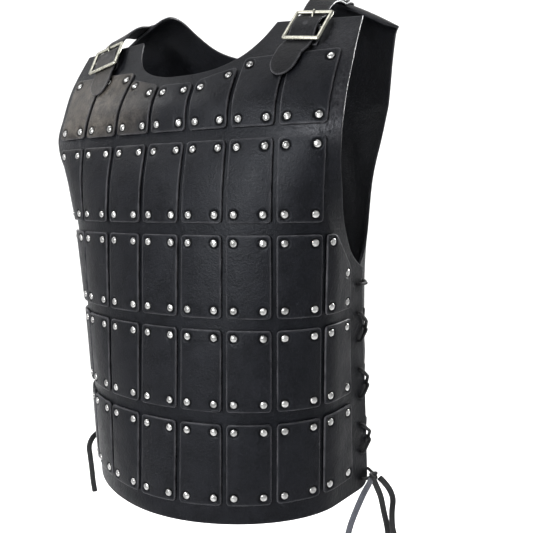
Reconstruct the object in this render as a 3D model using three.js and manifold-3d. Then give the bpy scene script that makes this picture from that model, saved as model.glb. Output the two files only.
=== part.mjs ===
// A riveted lamellar vest of black leather, in the hollow form that it takes when it is worn.
// Millimetres. +x is the wearer's left, -y the wearer's front, +z up.
// Heights are first measured from a line under the chest; the last group moves the whole
// garment so that its origin lies midway between the shoulders, where the wearer holds it up.
import * as THREE from "three";
import Module from "manifold-3d";
import { mergeVertices } from "three/addons/utils/BufferGeometryUtils.js";

const wasm = await Module();
wasm.setup();

// Where the shoulders bear, in the garment's own depth and height
const SHOULDER_DEPTH = 150;
const SHOULDER_HEIGHT = 300;

// Leather
const BACKING = 3.0;
const PLATE = 2.8;
const SEAM = 0.3;
const STRAP = 2.2;

// The front's skin runs 1 mm above the plates, so the layers lie under it
const PLATE_OUTER = -1.0;
const PLATE_INNER = PLATE_OUTER - PLATE;
const FRONT_OUTER = PLATE_INNER - SEAM;
const FRONT_INNER = FRONT_OUTER - BACKING;
// The back's skin is the outer face of its backing
const BACK_OUTER = 0;
const BACK_INNER = -BACKING;

// Plates
const PITCH = 54;
const PLATE_WIDTH = 48.5;
const PLATE_CORNER = 5;
const RIVET_INSET = 8.4;
const RIVET = { base: 4.5, cap: 2.8, height: 1.9, root: 1.2, sides: 6 };
const ROWS = [
  { row: 1, top: 221, bottom: 167.7, side: 3, parts: 0 },
  { row: 2, top: 155.8, bottom: 70.2, side: 3, parts: 2 },
  { row: 3, top: 57.9, bottom: -28.9, side: 4, parts: 1 },
  { row: 4, top: -41, bottom: -128.2, side: 4, parts: 1 },
  { row: 5, top: -141.4, bottom: -229.9, side: 4, parts: 1 },
];
// The tops of the first row follow the neck: heights at each plate's inner and outer corner
const NECK_TOPS = [
  { plate: 0, inner: 221, outer: 221 },
  { plate: 1, inner: 222.5, outer: 233.5 },
  { plate: 2, inner: 243.5, outer: 243.5 },
  { plate: 3, inner: 243.5, outer: 244.5 },
];
// The side plate of the third row is cut off along the armhole
const ARMHOLE_CUT = { fromWidth: 206, toHeight: 18, rivetHeight: 12.5 };

// Horizontal sections of the front, as half superellipses: the depth of the middle,
// the half width, the depth from the middle to the side, the exponent, and the width past
// which the side runs straight on
const FRONT_SECTIONS = [
  { height: -260, middle: -10.7, half: 171.6, depth: 114.2, power: 1.79, straight: 214 },
  { height: -160, middle: -4.3, half: 173.1, depth: 104.8, power: 1.97, straight: 214 },
  { height: -60, middle: 2.0, half: 174.7, depth: 92.1, power: 2.16, straight: 214 },
  { height: 40, middle: 7.4, half: 180.3, depth: 74.9, power: 2.21, straight: 212 },
  { height: 110, middle: 13.0, half: 182.8, depth: 47.6, power: 2.05, straight: 188 },
  { height: 165, middle: 26.0, half: 198.9, depth: 27.8, power: 1.79, straight: 186 },
  { height: 200, middle: 32.2, half: 212.8, depth: 37.5, power: 1.57, straight: 190 },
  { height: 240, middle: 59.0, half: 230.2, depth: 30.3, power: 1.5, straight: 212 },
  { height: 290, middle: 98.7, half: 248.2, depth: 25.0, power: 1.5, straight: 214 },
];
// The free strips beside the outermost plates turn outwards a little
const FLARE = { from: 236, at: 271, most: 1.5 };
// On the wearer's right the vest stands fuller at the side, towards the hem
const RIGHT_SIDE = { most: 28, over: 48, top: 130, bottom: -120, frontFrom: 188, backFrom: 145 };
// The rows rise towards the sides near the hem, and the top is drawn in towards the neck
const RISE = { most: 11, at: 200, from: 60, to: -280 };
const DRAW_IN = { most: 5.5, at: 200, from: 120, over: 115 };

// The same for the back
const BACK_SECTIONS = [
  { height: -260, middle: 240, half: 168, depth: 70, power: 2.25, straight: 190 },
  { height: -160, middle: 230, half: 166, depth: 62, power: 2.3, straight: 190 },
  { height: -60, middle: 226, half: 165, depth: 58, power: 2.35, straight: 190 },
  { height: 40, middle: 236, half: 167, depth: 68, power: 2.3, straight: 190 },
  { height: 110, middle: 250, half: 180, depth: 80, power: 2.1, straight: 190 },
  { height: 165, middle: 260, half: 200, depth: 84, power: 2.0, straight: 190 },
  { height: 200, middle: 263, half: 216, depth: 86, power: 1.9, straight: 190 },
];
// Above this height the back rolls forward over the shoulder line
const ROLL = { from: 200, radius: 98, axisDepth: 172, neckRise: 128, neckWidth: 100 };
const SHOULDER_FALL = { first: 0.32, growing: 0.0014 };

// Cut edges, from the hem up, on the wearer's left half
const HEM = [
  { width: 0, height: -250.5 },
  { width: 100, height: -252 },
  { width: 190, height: -253.5 },
  { width: 250, height: -255 },
];
const HEM_CORNER = 12;
const FRONT_SIDE = 271;
const FRONT_TAB = [
  { width: 192.5, height: 284 },
  { width: 107.5, height: 290 },
];
const FRONT_ARMHOLE = [
  { width: 271, height: 14 },
  { width: 256, height: 24 },
  { width: 243, height: 37 },
  { width: 232, height: 56 },
  { width: 221, height: 77 },
  { width: 210, height: 101 },
  { width: 203, height: 124 },
  { width: 200.5, height: 150 },
  { width: 200.5, height: 185 },
  { width: 199.5, height: 225 },
  { width: 197, height: 255 },
  { width: 195, height: 281 },
];
const FRONT_NECK = [
  { width: 103, height: 287 },
  { width: 93, height: 267 },
  { width: 77, height: 250.5 },
  { width: 54, height: 239.5 },
  { width: 26, height: 234 },
  { width: 0, height: 233 },
];
const BACK_SIDE = 202;
const BACK_ARMHOLE = [
  { width: 202, height: 14 },
  { width: 192, height: 26 },
  { width: 182, height: 48 },
  { width: 173, height: 84 },
  { width: 171, height: 125 },
  { width: 177, height: 175 },
  { width: 188, height: 235 },
  { width: 206, height: 300 },
  { width: 218, height: 343 },
  { width: 219, height: 365 },
  { width: 207, height: 383 },
];
const BACK_NECK = [
  { width: 106, height: 383 },
  { width: 101, height: 372 },
  { width: 100, height: 335 },
  { width: 95, height: 305 },
  { width: 78, height: 281 },
  { width: 45, height: 266 },
  { width: 0, height: 261 },
];

// Side lacing
const LACE_HOLES = { count: 8, top: -5, pitch: 34, fromEdge: 10.5, radius: 3.0 };
const LACE_RADIUS = 2.0;
const LACE_LIFT = 3.5;
const LACE_SLOPE = 0.35;
const LACE_PASS = { over: 4.7, under: 0.1, roundEdge: 1.5 };
const AROUND_EDGE = LACE_HOLES.fromEdge + LACE_PASS.roundEdge;
const KNOT = { across: 7.5, deep: 4.2, tall: 5.2, pastEdge: 4, stand: 5.2 };

// Shoulder buckles, in a flat frame that touches the front tab at the centre bar
const BUCKLES = [
  { name: "right", hand: -1, width: 146, height: 266.5, lean: 18 },
  { name: "left", hand: 1, width: 146, height: 270, lean: 9 },
];
const BUCKLE = { tilt: 2.8, lift: 7.9 };
const FRAME = { wide: 45, tall: 44, bar: 4.5, thick: 3, centreBar: 2.0, flattened: 0.7 };
// The chape, along its strap from the centre bar: the tail's end, where it narrows to the loop,
// and where the loop's two layers part
const CHAPE = {
  thick: 1.8,
  tail: -22,
  tailHalf: 17,
  corner: 4,
  narrowFrom: -13,
  narrowTo: -8,
  loopHalf: 15,
  loopFrom: -9,
  loopUnder: 2.5,
  loopOver: -7,
};
const CHAPE_SLOT = { half: 1.8, along: 8, deep: 9, middle: 4.2, rise: 1.5 };
const CHAPE_RIVET = { base: 3.6, cap: 2.4, height: 1, root: 1, fromEnd: 5 };
const PRONG = { radius: 1.0, clear: 0.5, steps: 6 };
const STRAP_HALF = 15;
const BOW = 5;
const STRAP_SHIFT = -2;
const STRAP_RIVETS = [
  { width: 131, height: 362 },
  { width: 151, height: 362 },
];

const rad = THREE.MathUtils.degToRad;
const clamp = THREE.MathUtils.clamp;

// A smooth value of one column of a section table at a height
function column(table, key, height) {
  const last = table.length - 1;
  const slope = (a, b) => (table[b][key] - table[a][key]) / (table[b].height - table[a].height);
  const slopeAt = (i) => slope(Math.max(i - 1, 0), Math.min(i + 1, last));
  if (height <= table[0].height) {
    return table[0][key] + slopeAt(0) * (height - table[0].height);
  }
  if (height >= table[last].height) {
    return table[last][key] + slopeAt(last) * (height - table[last].height);
  }
  const i = table.findIndex((row) => row.height > height) - 1;
  const span = table[i + 1].height - table[i].height;
  const u = (height - table[i].height) / span;
  return (
    (1 + 2 * u) * (1 - u) ** 2 * table[i][key] +
    u * (1 - u) ** 2 * span * slopeAt(i) +
    u * u * (3 - 2 * u) * table[i + 1][key] +
    u * u * (u - 1) * span * slopeAt(i + 1)
  );
}

// The point of a half superellipse at a distance along it from the middle: x, and the depth
// back from the middle. Past the straight width it runs on in a straight line.
const ARC_STEPS = 220;
const ARC_END = 0.75 * Math.PI;
const STRAIGHT_STEP = 4;
const arcs = new Map();

function arcOf(table, height) {
  const key = table[0].middle + ":" + height.toFixed(6);
  if (!arcs.has(key)) {
    const half = column(table, "half", height);
    const depth = column(table, "depth", height);
    const power = column(table, "power", height);
    const points = [];
    let run = 0;
    for (let i = 0; i <= ARC_STEPS; i++) {
      const turn = (ARC_END * i) / ARC_STEPS;
      const c = Math.cos(turn);
      const x = half * Math.sin(turn) ** (2 / power);
      const y = depth * (1 - Math.sign(c) * Math.abs(c) ** (2 / power));
      if (i) run += Math.hypot(x - points[i - 1].x, y - points[i - 1].y);
      points.push({ run, x, y });
    }
    arcs.set(key, points);
  }
  return arcs.get(key);
}

function onArc(points, run) {
  const i = clamp(points.findIndex((p) => p.run > run), 1, points.length - 1);
  const [a, b] = [points[i - 1], points[i]];
  const u = (run - a.run) / (b.run - a.run);
  return { x: a.x + (b.x - a.x) * u, y: a.y + (b.y - a.y) * u };
}

function across(table, height, width) {
  const points = arcOf(table, height);
  const straight = column(table, "straight", height);
  const end = onArc(points, Math.min(width, straight));
  if (width <= straight) return end;
  const before = onArc(points, straight - STRAIGHT_STEP);
  const step = Math.hypot(end.x - before.x, end.y - before.y);
  const over = (width - straight) / step;
  return { x: end.x + (end.x - before.x) * over, y: end.y + (end.y - before.y) * over };
}

// How far the cut lies higher than its row, towards the sides
function riseAt(width, height) {
  const low = clamp((RISE.from - height) / (RISE.from - RISE.to), 0, 1);
  return RISE.most * low * (width / RISE.at) ** 2;
}

function fullness(width, height, from) {
  if (width > 0) return 0;
  const low = clamp((RIGHT_SIDE.top - height) / (RIGHT_SIDE.top - RIGHT_SIDE.bottom), 0, 1);
  const side = THREE.MathUtils.smoothstep(-width, from, from + RIGHT_SIDE.over);
  return RIGHT_SIDE.most * low * side;
}

// The skins: a point of the worn garment for a width and a height on the flat cut
function frontSkin(width, height) {
  const size = Math.abs(width);
  const z = height + riseAt(width, height);
  const drawn = clamp((height - DRAW_IN.from) / DRAW_IN.over, 0, 1.3);
  const inwards = DRAW_IN.most * drawn * Math.sin(Math.PI * Math.min(size / DRAW_IN.at, 1));
  const at = across(FRONT_SECTIONS, z, Math.max(size - inwards, 0));
  const flare = FLARE.most * (Math.max(size - FLARE.from, 0) / (FLARE.at - FLARE.from)) ** 2;
  const full = fullness(width, height, RIGHT_SIDE.frontFrom);
  return new THREE.Vector3(
    Math.sign(width) * (at.x + flare + full),
    column(FRONT_SECTIONS, "middle", z) + at.y,
    z,
  );
}

function backSkin(width, height) {
  const size = Math.abs(width);
  const low = Math.min(height, ROLL.from);
  const z = low + riseAt(width * (FRONT_SIDE / BACK_SIDE), low);
  const at = across(BACK_SECTIONS, z, size);
  const y = column(BACK_SECTIONS, "middle", z) - at.y;
  if (height <= ROLL.from) {
    const full = fullness(width, height, RIGHT_SIDE.backFrom);
    return new THREE.Vector3(Math.sign(width) * (at.x + full), y, z);
  }
  const turn = (height - ROLL.from) / ROLL.radius;
  const out = Math.max(at.x - ROLL.neckWidth, 0);
  const rise = ROLL.neckRise - SHOULDER_FALL.first * out - SHOULDER_FALL.growing * out * out;
  return new THREE.Vector3(
    Math.sign(width) * at.x,
    ROLL.axisDepth + (y - ROLL.axisDepth) * Math.cos(turn),
    z + rise * Math.sin(turn),
  );
}

// Pattern grids. Each plate's edges are lines of the front's grid, so a plate and the backing
// under it bend at the same lines.
const GRID_MARGIN = 5;
const NECK_LINES = [193, 219.5, 241.5, 264, 296];

function plateLines() {
  const lines = [];
  const half = PLATE_WIDTH / 2;
  for (let k = -4; k <= 4; k++) {
    const inside = Math.abs(k) > 1 ? [0] : [];
    for (const step of [-half, ...inside, half]) lines.push(k * PITCH + step);
  }
  return [-FRONT_SIDE - GRID_MARGIN, ...lines, FRONT_SIDE + GRID_MARGIN];
}

function rowLines() {
  const lines = [];
  for (const { top, bottom, parts } of ROWS.slice(1)) {
    for (let i = 0; i <= parts; i++) lines.push(bottom + ((top - bottom) * i) / parts);
  }
  lines.push(HEM.at(-1).height - GRID_MARGIN, ROWS[0].bottom, ...NECK_LINES);
  return lines.sort((a, b) => a - b);
}

const FRONT_GRID = { widths: plateLines(), heights: rowLines() };
const BACK_WIDTHS = [28, 80, 112, 138, 160, 184, 222];
const BACK_GRID = {
  widths: [...BACK_WIDTHS.map((w) => -w).reverse(), ...BACK_WIDTHS],
  heights: [-260, -120, 20, 90, 150, 200, 232, 262, 290, 316, 340, 364, 388],
};

const FRONT = {
  skin: frontSkin,
  grid: FRONT_GRID,
  facing: 1,
  outer: FRONT_OUTER,
  inner: FRONT_INNER,
  edge: FRONT_SIDE,
};
const BACK = {
  skin: backSkin,
  grid: BACK_GRID,
  facing: -1,
  outer: BACK_OUTER,
  inner: BACK_INNER,
  edge: BACK_SIDE,
};

// The directions on a side at one point: along the width, up the cut, and outwards
function directions(side, width, height) {
  const reach = 1.5;
  const along = side.skin(width + reach, height).sub(side.skin(width - reach, height)).normalize();
  const up = side.skin(width, height + reach).sub(side.skin(width, height - reach)).normalize();
  const out = new THREE.Vector3().crossVectors(along, up).normalize().multiplyScalar(side.facing);
  return { along, up, out };
}

function onSide(side, width, height, offset) {
  const { out } = directions(side, width, height);
  return side.skin(width, height).addScaledVector(out, offset);
}

// The place of a point of the flat cut in its grid triangle: three grid points and their shares
function inGrid(grid, x, y) {
  const cell = (lines, value) => clamp(lines.findIndex((v) => v > value), 1, lines.length - 1) - 1;
  const [i, j] = [cell(grid.widths, x), cell(grid.heights, y)];
  const u = (x - grid.widths[i]) / (grid.widths[i + 1] - grid.widths[i]);
  const v = (y - grid.heights[j]) / (grid.heights[j + 1] - grid.heights[j]);
  const turn = u >= v ? [i + 1, j, u - v] : [i, j + 1, v - u];
  return [[i, j, 1 - Math.max(u, v)], turn, [i + 1, j + 1, Math.min(u, v)]];
}

// A point on the worn sheet itself, which runs flat from one grid line to the next
function onSheet(side, width, height, offset) {
  const { grid } = side;
  const point = new THREE.Vector3();
  for (const [i, j, share] of inGrid(grid, width, height)) {
    point.addScaledVector(onSide(side, grid.widths[i], grid.heights[j], offset), share);
  }
  return point;
}

function sheetOut(side, width, height) {
  return onSheet(side, width, height, 5).sub(onSheet(side, width, height, -5)).normalize();
}

// The flat grid is dished a little, so that neighbouring triangles stay apart when it is cut
const DISH = 0.002;
const FLAT_THICK = 10;
const CUTTER = { from: -100, depth: 700 };
const dish = (x, y) => DISH * (x * x + y * y + 0.5 * x * y);

function flatSheet(grid, bounds) {
  const within = (lines, low, high) => {
    const first = clamp(lines.findIndex((v) => v > low), 1, lines.length - 1) - 1;
    const past = lines.findIndex((v) => v > high);
    return lines.slice(Math.max(first - 1, 0), past < 0 ? lines.length : past + 1);
  };
  const widths = within(grid.widths, bounds.min.x, bounds.max.x);
  const heights = within(grid.heights, bounds.min.y, bounds.max.y);
  const points = [];
  for (const lift of [0, FLAT_THICK]) {
    for (const y of heights) {
      for (const x of widths) points.push(new THREE.Vector3(x, y, dish(x, y) + lift));
    }
  }
  const [nx, ny] = [widths.length, heights.length];
  const id = (i, j) => j * nx + i;
  const over = nx * ny;
  const index = [];
  const rim = [];
  for (let j = 0; j + 1 < ny; j++) {
    for (let i = 0; i + 1 < nx; i++) {
      const [a, b, c, d] = [id(i, j), id(i + 1, j), id(i + 1, j + 1), id(i, j + 1)];
      index.push(b, a, c, c, a, d);
      index.push(a + over, b + over, c + over, a + over, c + over, d + over);
      if (j === 0) rim.push([a, b]);
      if (i === nx - 2) rim.push([b, c]);
      if (j === ny - 2) rim.push([c, d]);
      if (i === 0) rim.push([d, a]);
    }
  }
  for (const [p, q] of rim) index.push(p, q, q + over, p, q + over, p + over);
  return closed(points, index);
}

// A leather piece: its outline is cut from the flat grid, and each vertex of the cut piece is
// carried to the outer or the inner face of the worn garment.
function leather(side, outline, outer, inner) {
  const { grid } = side;
  const bounds = new THREE.Box2().setFromPoints(outline);
  const cutter = new THREE.ExtrudeGeometry(new THREE.Shape(outline), {
    depth: CUTTER.depth,
    bevelEnabled: false,
  }).translate(0, 0, CUTTER.from);
  const cut = geometryOf(solid(flatSheet(grid, bounds)).intersect(solid(cutter)));
  const spots = new Map();
  const spot = (i, j, offset) => {
    const name = i + "," + j + "," + offset;
    if (!spots.has(name)) spots.set(name, onSide(side, grid.widths[i], grid.heights[j], offset));
    return spots.get(name);
  };
  const flat = cut.attributes.position;
  const points = [];
  for (let n = 0; n < flat.count; n++) {
    const [x, y, z] = [flat.getX(n), flat.getY(n), flat.getZ(n)];
    const shares = inGrid(grid, x, y);
    let lift = z;
    for (const [i, j, share] of shares) lift -= share * dish(grid.widths[i], grid.heights[j]);
    const offset = lift > FLAT_THICK / 2 ? outer : inner;
    const point = new THREE.Vector3();
    for (const [i, j, share] of shares) point.addScaledVector(spot(i, j, offset), share);
    points.push(point);
  }
  const index = Array.from(cut.index.array);
  return closed(points, side.facing > 0 ? index : index.reverse());
}

function closed(points, index) {
  const geometry = new THREE.BufferGeometry().setFromPoints(points);
  geometry.setIndex(index);
  return geometry;
}

// Between three.js geometry and solids that can be joined and cut
function solid(geometry) {
  const plain = geometry.clone();
  plain.deleteAttribute("normal");
  plain.deleteAttribute("uv");
  const merged = mergeVertices(plain, 1e-3);
  return new wasm.Manifold(
    new wasm.Mesh({
      numProp: 3,
      vertProperties: merged.attributes.position.array,
      triVerts: new Uint32Array(merged.index.array),
    }),
  );
}

function geometryOf(made) {
  const mesh = made.getMesh();
  const positions = new Float32Array(mesh.numVert * 3);
  for (let i = 0; i < mesh.numVert; i++) {
    const from = i * mesh.numProp;
    positions.set(mesh.vertProperties.subarray(from, from + 3), i * 3);
  }
  return new THREE.BufferGeometry()
    .setAttribute("position", new THREE.BufferAttribute(positions, 3))
    .setIndex(new THREE.BufferAttribute(mesh.triVerts, 1));
}

// Places a geometry with its own +z along the side's outward direction
function standing(geometry, side, width, height, offset) {
  const out = sheetOut(side, width, height);
  const turn = new THREE.Quaternion().setFromUnitVectors(new THREE.Vector3(0, 0, 1), out);
  const place = onSheet(side, width, height, offset);
  return geometry.clone().applyQuaternion(turn).translate(place.x, place.y, place.z);
}

// A turned piece about z, from its half profile
function turned(profile, sides) {
  const points = profile.map(([radius, height]) => new THREE.Vector2(radius, height));
  return new THREE.LatheGeometry(points, sides).rotateX(Math.PI / 2);
}

function rivetHead(base, cap, height, root) {
  return turned([[0, -root], [base, -root], [cap, height], [0, height]], RIVET.sides);
}

const HOLE_REACH = 8;
const HOLE_SIDES = 6;

function hole(radius) {
  const profile = [
    [0, -HOLE_REACH],
    [radius, -HOLE_REACH],
    [radius, HOLE_REACH],
    [0, HOLE_REACH],
  ];
  return turned(profile, HOLE_SIDES);
}

// Flat outlines
const flatPoint = ({ width, height }) => new THREE.Vector2(width, height);

function smooth(rows, steps) {
  return new THREE.SplineCurve(rows.map(flatPoint)).getPoints(steps);
}

function mirrored(half) {
  const other = half.filter((p) => p.x > 0).map((p) => new THREE.Vector2(-p.x, p.y));
  return [...half, ...other.reverse()];
}

function panelOutline(sideWidth, armhole, neck) {
  const low = HEM.at(-1).height;
  const hem = HEM.map(flatPoint).filter((p) => p.x < sideWidth - HEM_CORNER);
  const corner = [10, 40, 70].map((turn) => {
    const [across, up] = [Math.sin(rad(turn)), Math.cos(rad(turn))];
    return new THREE.Vector2(
      sideWidth - HEM_CORNER * (1 - across),
      low + HEM_CORNER * (1 - up),
    );
  });
  return mirrored([...hem, ...corner, ...armhole, ...neck]);
}

function frontOutline() {
  return panelOutline(
    FRONT_SIDE,
    [...smooth(FRONT_ARMHOLE, 17), ...FRONT_TAB.map(flatPoint)],
    smooth(FRONT_NECK, 10),
  );
}

function backOutline() {
  return panelOutline(BACK_SIDE, smooth(BACK_ARMHOLE, 17), smooth(BACK_NECK, 9));
}

// A plate's outline, with rounded corners, from its corner points in order
function rounded(corners, radius) {
  const points = [];
  corners.forEach((p, i) => {
    const before = corners.at(i - 1).clone().sub(p).setLength(radius);
    const after = corners[(i + 1) % corners.length].clone().sub(p).setLength(radius);
    points.push(p.clone().add(before));
    points.push(p.clone().add(after));
  });
  return points;
}

function plateTops(row, k) {
  if (row.row > 1) return { left: row.top, right: row.top };
  const { inner, outer } = NECK_TOPS[Math.abs(k)];
  return k < 0 ? { left: outer, right: inner } : { left: inner, right: outer };
}

function plateShape(row, k) {
  const left = k * PITCH - PLATE_WIDTH / 2;
  const right = left + PLATE_WIDTH;
  const top = plateTops(row, k);
  const corners = [
    new THREE.Vector2(left, row.bottom),
    new THREE.Vector2(right, row.bottom),
    new THREE.Vector2(right, top.right),
    new THREE.Vector2(left, top.left),
  ];
  const rivets = [
    new THREE.Vector2(left + RIVET_INSET, row.bottom + RIVET_INSET),
    new THREE.Vector2(right - RIVET_INSET, row.bottom + RIVET_INSET),
    new THREE.Vector2(right - RIVET_INSET, top.right - RIVET_INSET),
    new THREE.Vector2(left + RIVET_INSET, top.left - RIVET_INSET),
  ];
  if (row.row === 3 && k === 4) {
    corners[2].y = ARMHOLE_CUT.toHeight;
    corners.splice(3, 0, new THREE.Vector2(ARMHOLE_CUT.fromWidth, row.top));
    rivets[2].y = ARMHOLE_CUT.rivetHeight;
  }
  if (row.row === 3 && k === -4) {
    corners[3].y = ARMHOLE_CUT.toHeight;
    corners.splice(3, 0, new THREE.Vector2(-ARMHOLE_CUT.fromWidth, row.top));
    rivets[3].y = ARMHOLE_CUT.rivetHeight;
  }
  return { outline: rounded(corners, PLATE_CORNER), rivets };
}

function plate(row, k) {
  const { outline, rivets } = plateShape(row, k);
  let made = solid(leather(FRONT, outline, PLATE_OUTER, PLATE_INNER));
  const head = rivetHead(RIVET.base, RIVET.cap, RIVET.height, RIVET.root);
  for (const spot of rivets) {
    made = made.add(solid(standing(head, FRONT, spot.x, spot.y, PLATE_OUTER)));
  }
  return geometryOf(made);
}

function laceHeight(i) {
  return LACE_HOLES.top - LACE_HOLES.pitch * i;
}

function panel(side, outline) {
  let made = solid(leather(side, outline, side.outer, side.inner));
  const cutter = hole(LACE_HOLES.radius);
  for (const hand of [-1, 1]) {
    for (let i = 0; i < LACE_HOLES.count; i++) {
      const width = hand * (side.edge - LACE_HOLES.fromEdge);
      made = made.subtract(solid(standing(cutter, side, width, laceHeight(i), side.outer)));
    }
  }
  return geometryOf(made);
}

// The side lace starts at a knot beside the lowest holes, zigzags up on one course, crosses
// straight over at the top and zigzags down on the other course, back to the knot.
function octagon(wide, thick) {
  return [0, 1, 2, 3, 4, 5, 6, 7].map((i) => {
    const turn = rad(45 * i + 22.5);
    return new THREE.Vector2((thick / 2) * Math.cos(turn), (wide / 2) * Math.sin(turn));
  });
}

function smoothCord(points, wide, thick, steps) {
  const extrudePath = new THREE.CatmullRomCurve3(points, false, "centripetal");
  const section = new THREE.Shape(octagon(wide, thick));
  return new THREE.ExtrudeGeometry(section, { steps, extrudePath, bevelEnabled: false });
}

// A round cord that bends sharply at each point, mitred there
function bentCord(points, radius) {
  const ways = points.slice(1).map((p, i) => p.clone().sub(points[i]).normalize());
  const first = new THREE.Quaternion().setFromUnitVectors(new THREE.Vector3(0, 0, 1), ways[0]);
  let ring = octagon(2 * radius, 2 * radius).map((p) =>
    new THREE.Vector3(p.x, p.y, 0).applyQuaternion(first).add(points[0]),
  );
  const all = [...ring];
  for (let i = 1; i < points.length; i++) {
    const way = ways[i - 1];
    const face = way.clone().add(ways[i] || way).normalize();
    ring = ring.map((p) => {
      const run = points[i].clone().sub(p).dot(face) / way.dot(face);
      return p.clone().addScaledVector(way, run);
    });
    all.push(...ring);
  }
  const sides = ring.length;
  const index = [];
  for (let i = 0; i + 1 < points.length; i++) {
    for (let j = 0; j < sides; j++) {
      const [a, b] = [i * sides + j, i * sides + ((j + 1) % sides)];
      index.push(a, b, b + sides, a, b + sides, a + sides);
    }
  }
  const end = all.length - sides;
  for (let j = 1; j + 1 < sides; j++) index.push(0, j + 1, j, end, end + j, end + j + 1);
  return closed(all, index);
}

// A point by hole i, on the outer face of its panel (1), the inner face (-1) or between
function laceSpot(side, hand, i, face, lift, towardsEdge = 0) {
  const middle = (side.outer + side.inner) / 2;
  const offset = middle + face * (BACKING / 2 + lift);
  const width = side.edge - LACE_HOLES.fromEdge + towardsEdge;
  return onSheet(side, hand * width, laceHeight(i), offset);
}

// The way from hole i on one panel to the next hole up on the other. It bends over the edge
// that stands proud, the front's outside and the back's inside, and rides over or under the
// other course in the middle of the gap.
function crossing(from, to, hand, i, face, pass) {
  const proud = face > 0 ? FRONT : BACK;
  const level = proud === from ? i - LACE_SLOPE : i - 1 + LACE_SLOPE;
  const edge = laceSpot(proud, hand, level, face, LACE_LIFT, AROUND_EDGE);
  const middle = laceSpot(from, hand, i, face, LACE_LIFT);
  middle.lerp(laceSpot(to, hand, i - 1, face, LACE_LIFT), 0.5);
  middle.x += hand * face * pass;
  return proud === from ? [edge, middle] : [middle, edge];
}

// One course up from the lowest hole, on the inner and the outer face by turns
function laceCourse(first, second, hand, pass) {
  const points = [];
  let [side, other] = [first, second];
  let face = 1;
  for (let i = LACE_HOLES.count - 1; i >= 0; i--) {
    points.push(laceSpot(side, hand, i, face, LACE_LIFT));
    face = -face;
    points.push(laceSpot(side, hand, i, face, LACE_LIFT));
    if (i > 0) points.push(...crossing(side, other, hand, i, face, pass));
    [side, other] = [other, side];
  }
  return points;
}

function knotCentre(hand) {
  const low = LACE_HOLES.count - 1;
  const edge = laceSpot(FRONT, hand, low, 1, KNOT.stand, LACE_HOLES.fromEdge + KNOT.pastEdge);
  return edge.add(new THREE.Vector3(0, 0, -1));
}

function sideLace(hand) {
  const knot = knotCentre(hand);
  const up = laceCourse(FRONT, BACK, hand, LACE_PASS.over);
  const down = laceCourse(BACK, FRONT, hand, LACE_PASS.under).reverse();
  const top = laceSpot(FRONT, hand, 0, 1, LACE_LIFT, AROUND_EDGE);
  const end = knot.clone().add(new THREE.Vector3(0, 3, 0.5));
  const cord = solid(bentCord([knot, ...up, top, ...down, end], LACE_RADIUS));
  const ball = new THREE.SphereGeometry(1, 8, 6).scale(KNOT.deep, KNOT.across, KNOT.tall);
  ball.translate(knot.x, knot.y, knot.z);
  return geometryOf(cord.add(solid(ball)));
}

// A strap or chape: stations along it, each with the middle of its underside, its direction
// across and its half width
function ribbon(stations, thick) {
  const rings = stations.map((one, i) => {
    const before = stations[Math.max(i - 1, 0)].middle;
    const after = stations[Math.min(i + 1, stations.length - 1)].middle;
    const out = new THREE.Vector3().subVectors(after, before).cross(one.across).normalize();
    const left = one.middle.clone().addScaledVector(one.across, -one.half);
    const right = one.middle.clone().addScaledVector(one.across, one.half);
    const lift = out.multiplyScalar(thick);
    return [left, right, right.clone().add(lift), left.clone().add(lift)];
  });
  const index = [0, 2, 1, 0, 3, 2];
  for (let i = 0; i + 1 < rings.length; i++) {
    for (let j = 0; j < 4; j++) {
      const [a, b] = [4 * i + j, 4 * i + ((j + 1) % 4)];
      index.push(a, b + 4, a + 4, a, b, b + 4);
    }
  }
  const end = 4 * (rings.length - 1);
  index.push(end, end + 1, end + 2, end, end + 2, end + 3);
  return closed(rings.flat(), index);
}

// The buckle's flat frame on one tab: +x outwards from the neck, +y up the strap, +z out
function buckleFrame({ hand, width, height, lean }) {
  const { along, up, out } = directions(FRONT, hand * width, height);
  const outwards = along.multiplyScalar(hand);
  const x = outwards.clone().multiplyScalar(Math.cos(rad(lean)));
  x.addScaledVector(up, -Math.sin(rad(lean)));
  const z = out;
  const y = new THREE.Vector3().crossVectors(z, x).multiplyScalar(hand);
  x.multiplyScalar(hand);
  const middle = onSide(FRONT, hand * width, height, FRONT_OUTER);
  return new THREE.Matrix4().makeBasis(x, y, z).setPosition(middle);
}

// The course of a strap over a tab, down to its tip: heights of its underside over the leather
const ON_BUCKLE = [
  { along: 25, rise: 2.6 },
  { along: 21, rise: 2.4 },
  { along: 17.2, rise: 2.6 },
  { along: 13, rise: 6 },
  { along: 9, rise: 9.8 },
  { along: 4.5, rise: 12 },
  { along: 0, rise: 12.4 },
  { along: -5, rise: 11.7 },
  { along: -11, rise: 8.2 },
  { along: -16.4, rise: 4.7 },
  { along: -20, rise: 4.3 },
  { along: -24, rise: 4.5 },
];
const ON_PLATES = [
  { width: 136.5, height: 245.5, rise: 5.4, half: 15 },
  { width: 134.5, height: 238, rise: 5.8, half: 15 },
  { width: 132.6, height: 231, rise: 5.8, half: 13.6 },
  { width: 130.8, height: 224.5, rise: 5.5, half: 10.2 },
  { width: 129.6, height: 220.2, rise: 5.1, half: 6.4 },
  { width: 129, height: 217.8, rise: 4.8, half: 2.4 },
];
const ON_BACK = [
  { width: 141, height: 342, rise: 0.3 },
  { width: 141, height: 356, rise: 0.3 },
  { width: 141, height: 369, rise: 0.35 },
  { width: 141.5, height: 381, rise: 0.5 },
];

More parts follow.
